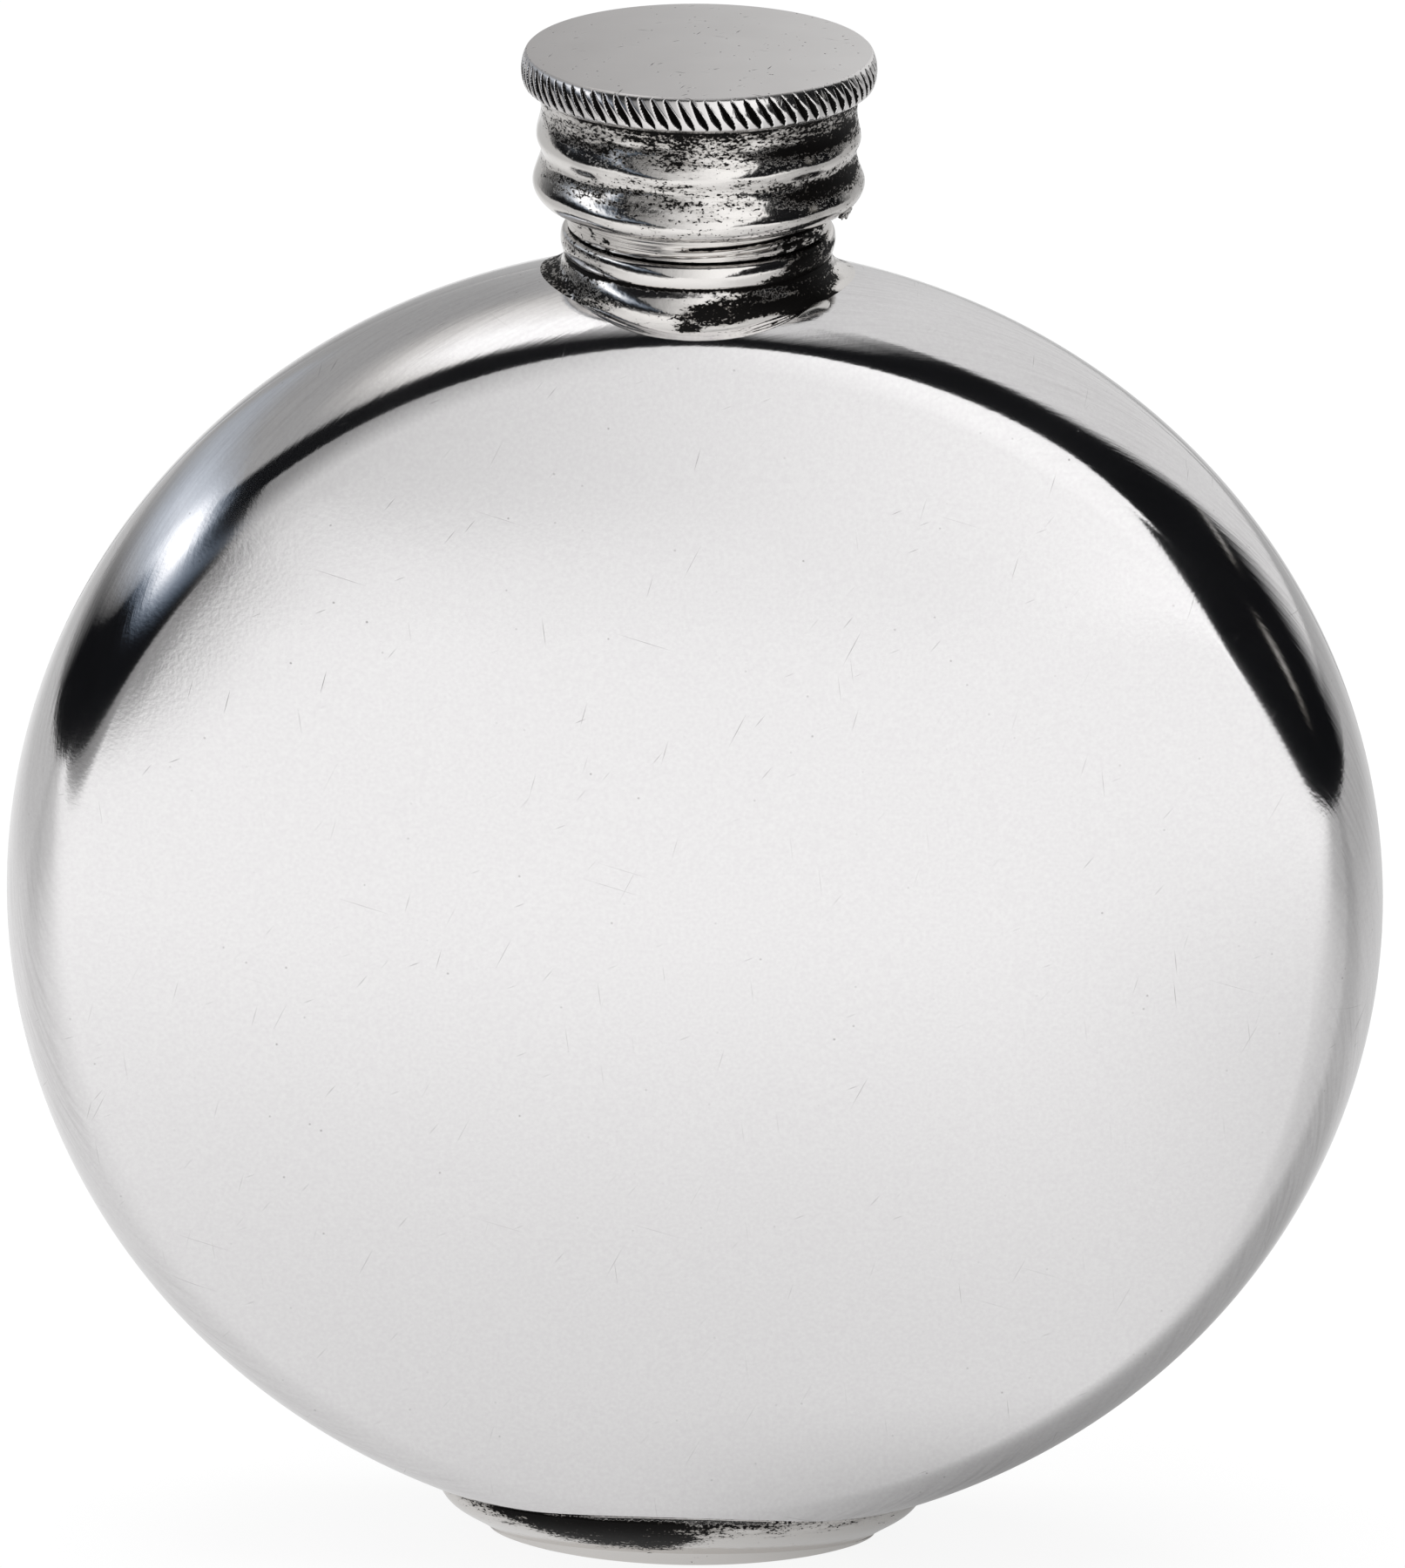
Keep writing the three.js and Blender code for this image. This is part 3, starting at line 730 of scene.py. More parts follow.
# %% Thread
PITCH = 2.0
THREAD_DEPTH = 0.65
THREAD_ROWS = 24  # rings in one pitch
THREAD_PLAY = 0.3  # between the two screws
THREAD_SHOW = 0.3  # the thread starts this far below the closed cap
THREAD_LEAD = 0.8  # height of the chamfer that lets the cap start
RUN_OUT_DEPTH = 0.3  # of the thread's last cut, on the plain band
FINE_CUT_DEPTH = 0.1  # of a thinner tool line below it
cap_low, cap_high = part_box("cap_skirt")
cap_base = cap_low.z / MM
screw_low, screw_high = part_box("neck_screw")
screw_top = screw_high.z / MM
screw_foot = collar_top + 0.1
bore_radius = 7.0


def thread_wave(height, angle):
    """0 on the neck thread's crest and 1 at its root."""
    return 0.5 - 0.5 * np.cos(2 * math.pi * (height - cap_base) / PITCH - angle)


def thread_heights(low, high):
    """Heights of the rings of a thread, evenly spaced."""
    return column(np.linspace(low, high, round((high - low) / PITCH * THREAD_ROWS) + 1))


# %% Neck screw
neck_angle = around(NECK_COLUMNS)
thread_foot = cap_base - THREAD_SHOW
band_heights = column(np.linspace(screw_foot + 0.08, thread_foot, 26)[:-1])
cut_heights = thread_heights(thread_foot, screw_top)
wrapped = np.remainder(neck_angle + math.pi / 2 + math.pi, 2 * math.pi) - math.pi
last_cut = screw_foot + 1.0 + PITCH * wrapped / (2 * math.pi)
run_out = near(band_heights - last_cut, 0, 0.13) * ease(-0.3, 0.1, wrapped)
fine_cut = near(band_heights - last_cut, -0.55, 0.07)
band_radius = screw_radius - RUN_OUT_DEPTH * run_out - FINE_CUT_DEPTH * fine_cut
run_in = ease(thread_foot, thread_foot + PITCH / 2, cut_heights)
lead = ease(screw_top - THREAD_LEAD, screw_top, cut_heights)
groove = np.maximum(thread_wave(cut_heights, neck_angle) * run_in, lead)
cut_radius = screw_radius - THREAD_DEPTH * groove
tube = [(shank_radius, screw_foot), (screw_radius - 0.14, screw_foot)]
mouth = [(bore_radius + 0.9, screw_top + 0.02), (bore_radius + 0.3, screw_top - 0.02),
         (bore_radius + 0.08, screw_top - 0.14), (bore_radius, screw_top - 0.4),
         (bore_radius, screw_low.z / MM), (shank_radius, screw_low.z / MM)]
neck_radii, neck_heights = stacked(neck_angle, flat_rings(tube), (band_radius, band_heights),
                                   (cut_radius, cut_heights), flat_rings(mouth))
neck = ring_mesh("threaded_neck", turned(neck_radii, neck_heights, neck_angle), loop=True)
neck_black = 0.12 + 0.8 * ease(0.06, 0.25, screw_radius - neck_radii) * (neck_radii > 8.9)
neck_black = neck_black + 0.5 * ease(0.14, 0.03, np.abs(neck_heights - screw_foot))
# Painted dark reflection on the neck's flanks
neck_black = neck_black + 0.52 * painted_flank_reflection(neck_angle, neck_heights, 30, 46)
write_black_and_shade(neck, neck_black)
dress(neck, lathed, "turned_pewter", "flask", "neck_screw")

# %% Cap screw
nut_radius = screw_radius + THREAD_PLAY
nut_low, nut_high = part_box("cap_screw")
nut_outer = nut_high.x / MM
nut_heights = thread_heights(nut_low.z / MM, nut_high.z / MM)
nut_in = ease(nut_heights[0], nut_heights[0] + PITCH / 2, nut_heights)
nut_out = ease(nut_heights[-1] - PITCH / 2, nut_heights[-1], nut_heights)
nut_cut = nut_radius - THREAD_DEPTH * thread_wave(nut_heights, neck_angle) * nut_in * (1 - nut_out)
nut_wall = flat_rings([(nut_outer, nut_high.z / MM), (nut_outer, nut_low.z / MM)])
nut_radii, nut_rings = stacked(neck_angle, (nut_cut, nut_heights), nut_wall)
nut = ring_mesh("cap_thread", turned(nut_radii, nut_rings, neck_angle), loop=True)
write_black_and_shade(nut, 0.3 + 0.5 * ease(0.25, 0.05, nut_radius - nut_radii))
dress(nut, lathed, "turned_pewter", "cap", "cap_screw")

# %% [markdown]
# ## The cap's side
# The cap's side is a casting with a full bead low down, a slim bead above and two hollows. A spline
# through a few heights and radii draws its outline, and small lumps make it a casting. Black fills
# the high hollow most, under the rim, then the low one, and leaves the two beads brightest.

# %% Cap side outline
cap_top_height = cap_high.z / MM
cap_bore = nut_outer + 0.15
cap_radius = cap_bore + 0.87
low_bead = cap_base + 1.7
rise = cap_top_height - low_bead
cap_outline = smooth_line([(cap_bore - 0.15, cap_base), (cap_radius + 0.16, cap_base + 0.57),
                           (cap_radius + 0.65, low_bead), (cap_radius, low_bead + 0.3 * rise),
                           (cap_radius + 0.33, low_bead + 0.5 * rise),
                           (cap_radius, low_bead + 0.76 * rise),
                           (cap_radius + 0.17, cap_top_height)], 14)
cap_inside = [(cap_bore, cap_top_height), (cap_bore, cap_base + 0.8), (nut_radius, cap_base + 0.8),
              (nut_radius, cap_base + 0.12), (nut_radius + 0.12, cap_base)]
cap_profile = np.vstack([cap_outline, cap_inside])
print(f"cap side: {2 * cap_outline[:, 0].max():.1f} mm across the lower bead, without its lumps")

# %% Cap side mesh
LUMP = 0.018  # of the casting, in millimetres
cap_angle = around(216)
lumps = np.sin(5 * cap_angle + 0.7) * np.sin(column(cap_profile[:, 1]) * 1.7 + 2 * np.cos(2 * cap_angle))
lumps = lumps + np.sin(11 * cap_angle + column(cap_profile[:, 1]) * 2.3)
cap_radii = column(cap_profile[:, 0]) + LUMP * lumps * (column(cap_profile[:, 0]) > cap_bore + 0.3)
cap_heights = np.broadcast_to(column(cap_profile[:, 1]), cap_radii.shape)
skirt = ring_mesh("cast_cap_side", turned(cap_radii, cap_heights, cap_angle), loop=True)
# Height above the cap's lower edge, and the black there
black_at = [(0, 0.42), (0.5, 0.24), (1.7, 0.13), (3.0, 0.3), (3.9, 0.35), (5.2, 0.12), (6.2, 0.32),
            (7.2, 0.42), (8.3, 0.46), (8.6, 0.55), (8.75, 0.85)]
from_base = cap_heights - cap_base
cap_black = np.interp(from_base, *zip(*black_at))
in_hollows = near(from_base, 3.2, 0.75) + near(from_base, 6.7, 0.6)
# Painted shade darkens the cap's right front through the cosine; the faster wave gives random patches
right_shade_and_patches = 0.12 * np.cos(cap_angle + 0.6) + 0.05 * np.sin(3 * cap_angle + 1.1)
# The hollows' black on the flanks is a painted dark reflection
write_black_and_shade(skirt, cap_black + right_shade_and_patches + 0.45 * in_hollows * painted_flank_reflection(cap_angle, cap_heights, 22, 46))
dress(skirt, cast, "cast_pewter", "cap", "cap_skirt")

# %% [markdown]
# ## The knurled top
# The top plate's rim carries slanting cuts that a knurling wheel pressed in, so that fingers can grip
# it. Each cut is a V that fades where the rim curves away, which makes it spindle-shaped. The cuts show
# at the outline, so they are real geometry: a ring point near the middle of a cut is pushed in, the
# more the closer it lies.

# %% Knurl
KNURL_COUNT = 84
KNURL_STEPS = 12  # columns for each cut
rim_foot = cap_top_height + 0.15
rim_height = 2.7
rim_radius = 13.28
rim_barrel = 0.35
knurl_depth = 0.42
knurl_width = 0.6
knurl_slant = math.radians(30)
top_low, top_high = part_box("cap_top")
rim_angle = around(KNURL_COUNT * KNURL_STEPS)
rim_share = column(np.linspace(0, 1, 27))
knurl_pitch = 2 * math.pi * rim_radius / KNURL_COUNT
run = rim_angle * rim_radius + (rim_share - 0.5) * rim_height * math.tan(knurl_slant)
apart = np.abs(np.remainder(run / knurl_pitch, 1) - 0.5) * knurl_pitch * math.cos(knurl_slant)
# Each cut is widest below mid height and runs out as a thin line at the top edge
spindle = np.where(rim_share < 0.42, 1 - np.abs((rim_share - 0.42) / 0.36) ** 2,
                   1 - 0.62 * ease(0.42, 1.0, rim_share))
spindle = np.clip(spindle, 0, 1) * ease(1.0, 0.86, rim_share)
chance = np.random.default_rng(7)
pressed_in = chance.uniform(0.72, 1.08, KNURL_COUNT + 2)[np.floor(run / knurl_pitch).astype(int) + 1]
cut_depth = np.clip(knurl_depth * pressed_in * spindle - apart * 2 * knurl_depth / knurl_width, 0, None)
full_rim = rim_radius - rim_barrel * (2 * rim_share - 1) ** 2
full_rim = full_rim - 0.3 * ease(0.16, 0, rim_share) ** 2 - 0.07 * ease(0.95, 1, rim_share)
rim_black = 1.5 * ease(0.03, 0.1, cut_depth) + 0.3 * ease(0.95, 1.0, rim_share)
rim_black = rim_black + 0.4 * ease(0.1, 0, rim_share)
print(f"knurl: {KNURL_COUNT} cuts, up to {cut_depth.max():.2f} mm deep")
# Radii, heights, black and wear
rim_band = (full_rim - cut_depth, rim_foot + rim_height * rim_share, rim_black, ease(1.0, 0.9, rim_share))

# %% Top plate
crown_edge = float(full_rim[-1, 0])
crown_rise = top_high.z / MM - rim_foot - rim_height
crown_share = column([0.988, 0.965, 0.93, 0.85, 0.7, 0.5, 0.25])
crown_heights = rim_foot + rim_height + crown_rise * (1 - crown_share**2)
crown_band = (crown_edge * crown_share, crown_heights, np.full_like(crown_share, -0.35),
              np.zeros_like(crown_share))
plug_radius = nut_outer
plug_foot = top_low.z / MM
plug_radii, plug_heights = flat_rings([(0.3 * plug_radius, plug_foot), (0.95 * plug_radius, plug_foot),
                                       (plug_radius, plug_foot + 0.1), (plug_radius, rim_foot),
                                       (cap_radius, rim_foot)])
plug_band = (plug_radii, plug_heights, np.full_like(plug_radii, 0.5), np.zeros_like(plug_radii))
plate_radii, plate_heights, plate_black, plate_worn = stacked(rim_angle, plug_band, rim_band, crown_band)
plate = ring_mesh("knurled_top", turned(plate_radii, plate_heights, rim_angle),
                  first_pole=[0, 0, plug_foot], last_pole=[0, 0, rim_foot + rim_height + crown_rise])
write_black_and_shade(plate, plate_black)
write_points(plate, "worn", plate_worn)
dress(plate, satin, "satin_pewter", "cap", "cap_top")

# %% [markdown]
# ## The wad and a bit of flash
# The wad is a soft disc with round edges and the ring that the mouth has pressed into it. On the right
# of the cap's lower edge the mould left a small lump of flash, which nobody filed away. The wad is turned
# from a profile, and the lump is a ball of rings, made uneven by two waves.

# %% Sealing wad
DENT = 0.12
seal_low, seal_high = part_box("cap_seal")
seal_radius = seal_high.x / MM
seal_foot = seal_low.z / MM
seal_top = seal_high.z / MM
dent_middle = bore_radius + 1.2
seal_across = np.linspace(1.5, seal_radius - 0.4, 24)
seal_dent = DENT * near(seal_across, dent_middle, 0.7)
seal_edge = [(seal_radius - 0.12, seal_foot + 0.1), (seal_radius, seal_foot + 0.35),
             (seal_radius, seal_top - 0.35), (seal_radius - 0.12, seal_top - 0.1),
             (seal_radius - 0.4, seal_top), (1.5, seal_top)]
seal_profile = np.vstack([np.stack([seal_across, seal_foot + seal_dent], -1), seal_edge])
seal_rings = turned(column(seal_profile[:, 0]), column(seal_profile[:, 1]), neck_angle)
seal = ring_mesh("sealing_wad", seal_rings, first_pole=[0, 0, seal_foot], last_pole=[0, 0, seal_top])
dress(seal, wad, "seal", "seal", "cap_seal")

# %% Casting flash
FLASH_HALF = (0.5, 1.15, 0.75)  # outwards, along the edge and up
flash_turn = around(20)
flash_climb = column(np.linspace(-0.5, 0.5, 11)[1:-1] * math.pi)
flash_size = 0.85 + 0.12 * np.sin(3 * flash_turn + 4 * flash_climb)
flash_size = flash_size + 0.08 * np.sin(5 * flash_turn - 3 * flash_climb)
flash_local = np.stack([FLASH_HALF[0] * flash_size * np.cos(flash_climb) * np.cos(flash_turn),
                        FLASH_HALF[1] * flash_size * np.cos(flash_climb) * np.sin(flash_turn),
                        FLASH_HALF[2] * flash_size * np.sin(flash_climb)], -1)
flash_angle = math.radians(-22)
flash_radius = cap_radius + 0.05
flash_middle = np.array([flash_radius * math.cos(flash_angle), flash_radius * math.sin(flash_angle),
                         cap_base + 0.75])
flash_turned = np.array([[math.cos(flash_angle), -math.sin(flash_angle), 0],
                         [math.sin(flash_angle), math.cos(flash_angle), 0], [0, 0, 1]])
flash_rings = flash_local @ flash_turned.T + flash_middle
flash = ring_mesh("casting_flash", flash_rings, first_pole=flash_rings[0].mean(0),
                  last_pole=flash_rings[-1].mean(0))
write_black_and_shade(flash, np.full(flash_size.shape, 0.4))
dress(flash, cast, "cast_pewter", "cap")

# %% [markdown]
# ## The foot
# The foot is a boat-shaped casting. A low rim stands on the table, and above it the side draws in and
# flares out to meet the body. Each column climbs from the rim until it reaches the body's surface,
# found by halving the step again and again.

# %% Foot sizes
FOOT_COLUMNS = 240
FOOT_WALL = 2.2
foot_low, foot_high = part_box("foot")
print(f"foot in the frame: {(foot_high.x - foot_low.x) / MM:.1f} mm long, {foot_high.z / MM:.1f} mm high")
foot_shift = -0.6  # it was soldered on by eye, a little to the left
base_length = 15.75
base_depth = 6.0
side_flare = 4.15
face_flare = 4.1
base_power = 1.3  # tips of the base outline: 1 is an ellipse, 2 comes to a point
top_power = 0.65
flare_height = 6.0  # where the flare would be full, above the table
foot_angle = around(FOOT_COLUMNS)
foot_rim = 0.12 + 0.98 * np.sin(foot_angle) ** 2  # low at the two tips
foot_rise = flare_height - foot_rim


def foot_level(share):
    """Places on the foot's side at a share of the way from the rim to the full flare."""
    flare = np.sin(np.clip(share, 0, 1) * math.pi / 2)
    power = base_power + (top_power - base_power) * flare
    x = foot_shift + (base_length + side_flare * flare) * np.cos(foot_angle)
    side = np.sin(foot_angle)
    y = (base_depth + face_flare * flare) * np.sign(side) * np.abs(side) ** power
    return x, y, foot_rim + foot_rise * share


def inside_body(x, y, z):
    """Whether places lie inside the body's rim."""
    return np.hypot(x, z - body_height) < body_reach(y)


# %% Where the foot meets the body
low_share = np.zeros(FOOT_COLUMNS)
high_share = np.ones(FOOT_COLUMNS)
for _ in range(30):
    middle = (low_share + high_share) / 2
    met = inside_body(*foot_level(middle))
    high_share = np.where(met, middle, high_share)
    low_share = np.where(met, low_share, middle)
meet_share = low_share
print(f"foot meets the body at {meet_share.min():.2f} to {meet_share.max():.2f} of its flare")

# %% Foot mesh
FOOT_ROWS = 20
climb = column(np.linspace(0, 1, FOOT_ROWS))
side_x, side_y, side_z = foot_level(climb * meet_share)
hollow = 0.3 * np.sin(math.pi * climb) * np.abs(np.sin(foot_angle)) ** 2
rim_x, rim_y, _ = foot_level(np.zeros(1))
outline = np.stack([rim_x, rim_y], -1)
facing = np.sin(foot_angle)
outward = np.stack([np.cos(foot_angle), np.sign(facing) * np.abs(facing) ** 0.5], -1)
outward = outward / np.linalg.norm(outward, axis=1)[:, None]
# The rim's section: outwards in mm, and the share of its height
rim_bulge = [(-0.25, 0.0), (-0.06, 0.03), (0.02, 0.14), (0.03, 0.45), (0.02, 0.8)]
rings = []
for bulge, share in rim_bulge:
    rings.append(np.column_stack([outline + outward * bulge, share * foot_rim]))
side_rings = np.stack([side_x, side_y - np.sign(side_y) * hollow, side_z], -1)
rings += list(side_rings)
# The top edge tucks in under the body's sheet, and the hollow below opens to the table
tuck = side_rings[-1] * [0.985, 0.97, 1.0] + [0, 0, 0.35]
opening = np.stack([foot_shift + (base_length - FOOT_WALL) * np.cos(foot_angle),
                    (base_depth - FOOT_WALL) * facing * np.abs(facing) ** 0.7], -1)
ceiling = body_height - np.sqrt(body_reach(opening[:, 1]) ** 2 - opening[:, 0] ** 2) + 0.2
rings += [tuck, np.column_stack([opening, ceiling]),
          np.column_stack([opening, np.full(FOOT_COLUMNS, 0.15)]),
          np.column_stack([opening + outward * 0.15, np.zeros(FOOT_COLUMNS)])]
foot = ring_mesh("cast_foot", rings, loop=True)

# %% [markdown]
# The foot's black is partly antique black and partly a painted dark reflection of the shaded table
# under it. It is densest left of the middle, where it reaches nearly down to the rim. Towards the two
# tips it is thin and stays close under the body.

# %% Black on the foot
foot_black = np.full((len(rings), FOOT_COLUMNS), 0.1)
rim_rows = len(rim_bulge)
# Along the foot: the share of the side's height where the black sets in, and how dense it is
black_from = np.interp(side_x, [-20, -13, -8, -3, 0, 3, 14], [0.85, 0.62, 0.2, 0.08, 0.25, 0.6, 0.8])
density = np.interp(side_x, [-20, -16, -12, -2, 1, 4, 12, 18], [0.2, 0.5, 0.74, 0.74, 0.45, 0.34, 0.3, 0.15])
# Black on the side: antique black, and a painted dark reflection of the table's shade
side_black = 0.08 + density * ease(black_from - 0.25, black_from + 0.4, climb)
foot_black[rim_rows:rim_rows + FOOT_ROWS] = side_black
foot_black[rim_rows + FOOT_ROWS - 2:rim_rows + FOOT_ROWS] += 0.1
foot_black[rim_rows + FOOT_ROWS + 1:] = 0.6
write_black_and_shade(foot, foot_black)
dress(foot, cast, "cast_pewter", "flask", "foot")

# %% [markdown]
# ## Solder at the collar
# When the collar was soldered on, a little metal ran out at its right-hand foot and was not cleaned
# off. It is a thin dull smear that lies on the body's shoulder. Its points take their height from the
# formula of the body, so it fits without a modifier.

# %% Solder run
RUN_RISE = 0.2
RUN_SINK = 0.03  # its edge lies this far inside the sheet
run_length = 1.7  # half the length of the drop
run_share = column(np.linspace(0, 1, 10)[1:])
run_turn = around(32)
run_middle = np.array([8.8, -6.4])
run_lean = math.radians(40)
# Pointed where it left the collar, blunt and a little ragged at its far end
run_half = (0.45 + 0.25 * np.cos(run_turn)) * (1 + 0.1 * np.sin(5 * run_turn))
run_along = run_share * run_length * np.cos(run_turn)
run_across = run_share * run_half * np.sin(run_turn)
run_x = run_middle[0] + run_along * math.cos(run_lean) - run_across * math.sin(run_lean)
run_y = run_middle[1] + run_along * math.sin(run_lean) + run_across * math.cos(run_lean)
run_up = RUN_RISE * (1 - run_share**2) - RUN_SINK
run_rings = np.stack([run_x, run_y, on_crest(run_x, run_y) + run_up], -1)
run_top = [*run_middle, on_crest(*run_middle) + RUN_RISE - RUN_SINK]
smear = ring_mesh("solder_run", run_rings, first_pole=run_top)
write_black_and_shade(smear, 0.15 + 0.4 * ease(0.3, 0.8, run_share) * ease(-0.3, 0.5, np.sin(run_turn)))
dress(smear, solder, "polished_pewter", "flask")

# %% [markdown]
# ## Studio
# Polished metal shows nothing but its surroundings, so the studio is most of the look. A white table
# lies under the flask. A black curtain hangs round its front and sides and gives the shoulder its dark
# line. A white reflector stands in front, and soft boxes shine from above and from the left.

# %% [markdown]
# The table is white paper. To the camera, and in metal and glass, most of it is an even glow and the
# rest is its true shading, so the picture's ground is white and the flask's shadow stays on it.
# In reflections its glow carries painted shade: palest in front, greyer far out, and greyest on the right
# under the flask, a painted shadow away from the soft boxes. In front, its painted light ends softly at
# the left, beside the reflector.

# %% Paper
def falloff(tree, *steps):
    """Product of smooth steps. Each holds a coordinate, where its change starts and ends, and the value at
    either end. Places are in metres."""
    product = 1.0
    for place, start, end, first, last in steps:
        step = add(tree, "ShaderNodeMapRange", {"Value": place, "From Min": start, "From Max": end,
                   "To Min": first, "To Max": last}, interpolation_type="SMOOTHSTEP")
        product = add(tree, "ShaderNodeMath", {0: product, 1: step.outputs[0]},
                      operation="MULTIPLY").outputs[0]
    return product


def paper_shade(tree, place):
    """Brightness of the paper in a reflection: its glow, darkened by four painted shades."""
    x, y, _ = add(tree, "ShaderNodeSeparateXYZ", {0: place}).outputs
    aside = add(tree, "ShaderNodeMath", {0: x}, operation="ABSOLUTE").outputs[0]
    # Painted shade: greyer far out, a painted shadow under and right of the flask, and a soft edge at the
    # left
    not_ahead = (y, -0.2, -0.1, 0, 1)
    far_out = [(aside, 0.09, 0.3, 0, 0.36), not_ahead]
    at_right = [(x, 0.03, 0.09, 0, 0.26), not_ahead]
    under_flask = [(x, -0.01, 0.03, 0.1, 0.62), (x, 0.03, 0.13, 1, 0.4), (y, -0.04, -0.012, 0, 1),
                   (y, 0.06, 0.015, 0, 1)]
    left_edge = [(x, -0.084, -0.1, 0, 0.85), (y, -0.2, -0.24, 0, 1)]
    shade = falloff(tree, (y, -0.03, -0.16, 0.83, 1.07))
    for grey in (far_out, at_right, under_flask, left_edge):
        light = add(tree, "ShaderNodeMath", {0: 1.0, 1: falloff(tree, *grey)}, operation="SUBTRACT")
        shade = add(tree, "ShaderNodeMath", {0: shade, 1: light.outputs[0]},
                    operation="MULTIPLY").outputs[0]
    return shade


# %% White table
GLOW = 1.04  # strength of the paper's glow in the picture, where 1 is white
GLOW_SHARE = 0.84  # the rest of the paper's look is its true shading
TABLE = 3.0  # metres from the flask to each edge


def mirrored_ray(tree):
    """The Light Path node, and 1 for rays that left a mirror or went through glass."""
    ray = add(tree, "ShaderNodeLightPath").outputs
    return ray, add(tree, "ShaderNodeMath", {0: ray["Is Glossy Ray"], 1: ray["Is Transmission Ray"]},
                    operation="MAXIMUM").outputs[0]


def paper_table():
    material, tree, place = blank_finish("white_paper_table")
    ray, mirrored = mirrored_ray(tree)
    seen = add(tree, "ShaderNodeMath", {0: ray["Is Camera Ray"], 1: mirrored}, operation="MAXIMUM")
    level = add(tree, "ShaderNodeMix", {0: mirrored, 2: GLOW, 3: paper_shade(tree, place)},
                data_type="FLOAT")
    paper = add(tree, "ShaderNodeBsdfDiffuse", {"Color": linear("f3f3f3")})
    white = add(tree, "ShaderNodeEmission", {"Color": linear("ffffff"), "Strength": level.outputs[0]})
    veil = add(tree, "ShaderNodeMath", {0: seen.outputs[0], 1: GLOW_SHARE}, operation="MULTIPLY")
    laid = add(tree, "ShaderNodeMixShader", {0: veil.outputs[0], 1: paper.outputs[0], 2: white.outputs[0]})
    add(tree, "ShaderNodeOutputMaterial", {"Surface": laid.outputs[0]})
    return material


def card(name, corners, faces, finish):
    """A stage card from points in metres."""
    mesh = bpy.data.meshes.new(name)
    mesh.from_pydata([tuple(map(float, corner)) for corner in corners], [], faces)
    mesh.materials.append(finish)
    made = bpy.data.objects.new(name, mesh)
    bpy.context.scene.collection.objects.link(made)
    return made


table = card("table", [(-TABLE, -TABLE, 0), (TABLE, -TABLE, 0), (TABLE, TABLE, 0), (-TABLE, TABLE, 0)],
             [(0, 1, 2, 3)], paper_table())
print("stage:", table.name)


# %% [markdown]
# The curtain and the lights hang round the flask as bands of cloth. An attribute named cover thins each
# cloth towards its edges, so a reflection of it fades out as that of a real soft box does. These cards
# are kept out of the picture and out of the light: only reflections show them, and lamps do the lighting.

# %% Hanging cloths
def reflected_only(made):
    """Keeps a card out of the picture and out of the light, so that only reflections show it."""
    made.visible_camera = False
    made.visible_diffuse = False
    made.visible_shadow = False
    return made


def cloth(name, thin, dense, strength):
    """Glowing cloth that lets through what hangs behind it where its cover is thin."""
    material, tree, _ = blank_finish(name)
    cover = add(tree, "ShaderNodeAttribute", attribute_name="cover").outputs["Fac"]
    colour = add(tree, "ShaderNodeMix", {0: cover, COLOUR_A: linear(thin), COLOUR_B: linear(dense)},
                 data_type="RGBA")
    glow = add(tree, "ShaderNodeEmission", {"Color": colour.outputs[COLOUR_OUT], "Strength": strength})
    gap = add(tree, "ShaderNodeBsdfTransparent")
    hung = add(tree, "ShaderNodeMixShader", {0: cover, 1: gap.outputs[0], 2: glow.outputs[0]})
    add(tree, "ShaderNodeOutputMaterial", {"Surface": hung.outputs[0]})
    return material


def hang(name, rows, stations, finish):
    """A band round the flask. rows is the cover from the lower to the upper edge. A station holds the
    azimuth from the front, the distance in m, the lower and upper elevation and the cover there."""
    azimuth, distance, low, high, cover = np.asarray(stations, float).T
    every = np.arange(azimuth[0], azimuth[-1] + 1, 2.0)
    distance, low, high, cover = (np.interp(every, azimuth, value) for value in (distance, low, high, cover))
    elevation = np.radians(low + (high - low) * column(np.linspace(0, 1, len(rows))))
    height = np.maximum(body_height * MM + distance * np.tan(elevation), 0.001)
    flat = (distance * np.sin(np.radians(every)), -distance * np.cos(np.radians(every)))
    points = np.stack([*np.broadcast_arrays(*flat, height)], -1)
    index = np.arange(height.size).reshape(height.shape)
    faces = np.stack([index[:-1, :-1], index[:-1, 1:], index[1:, 1:], index[1:, :-1]], -1)
    made = reflected_only(card(name, points.reshape(-1, 3), faces.reshape(-1, 4).tolist(), finish))
    write_points(made, "cover", column(rows) * cover)
    print(f"stage: {name}, azimuth {every[0]:.0f} to {every[-1]:.0f}")
    return made


# %% Curtain and soft lights
FLOOR = -60.0  # an elevation that is under the table at any distance used here
hang("black_curtain", [1] * 11 + [0], [
    (-145, 1.1, FLOOR, 10, 0), (-116, 1.0, FLOOR, 12, 1), (-95, 0.85, FLOOR, 18, 1),
    (-84, 0.78, FLOOR, 25, 1), (-72, 0.68, FLOOR, 42, 1), (-50, 0.47, FLOOR, 67, 1),
    (-35, 0.38, FLOOR, 68, 1), (-15, 0.31, FLOOR, 69, 1), (14, 0.31, FLOOR, 67, 1),
    (37, 0.42, FLOOR, 72, 1), (60, 0.48, FLOOR, 76, 1), (85, 0.55, FLOOR, 74, 1),
    (97, 0.6, FLOOR, 54, 1), (115, 0.65, FLOOR, 34, 1), (133, 0.68, FLOOR, 8, 0),
], cloth("black_cloth", "191a1d", "191a1d", 0.5))
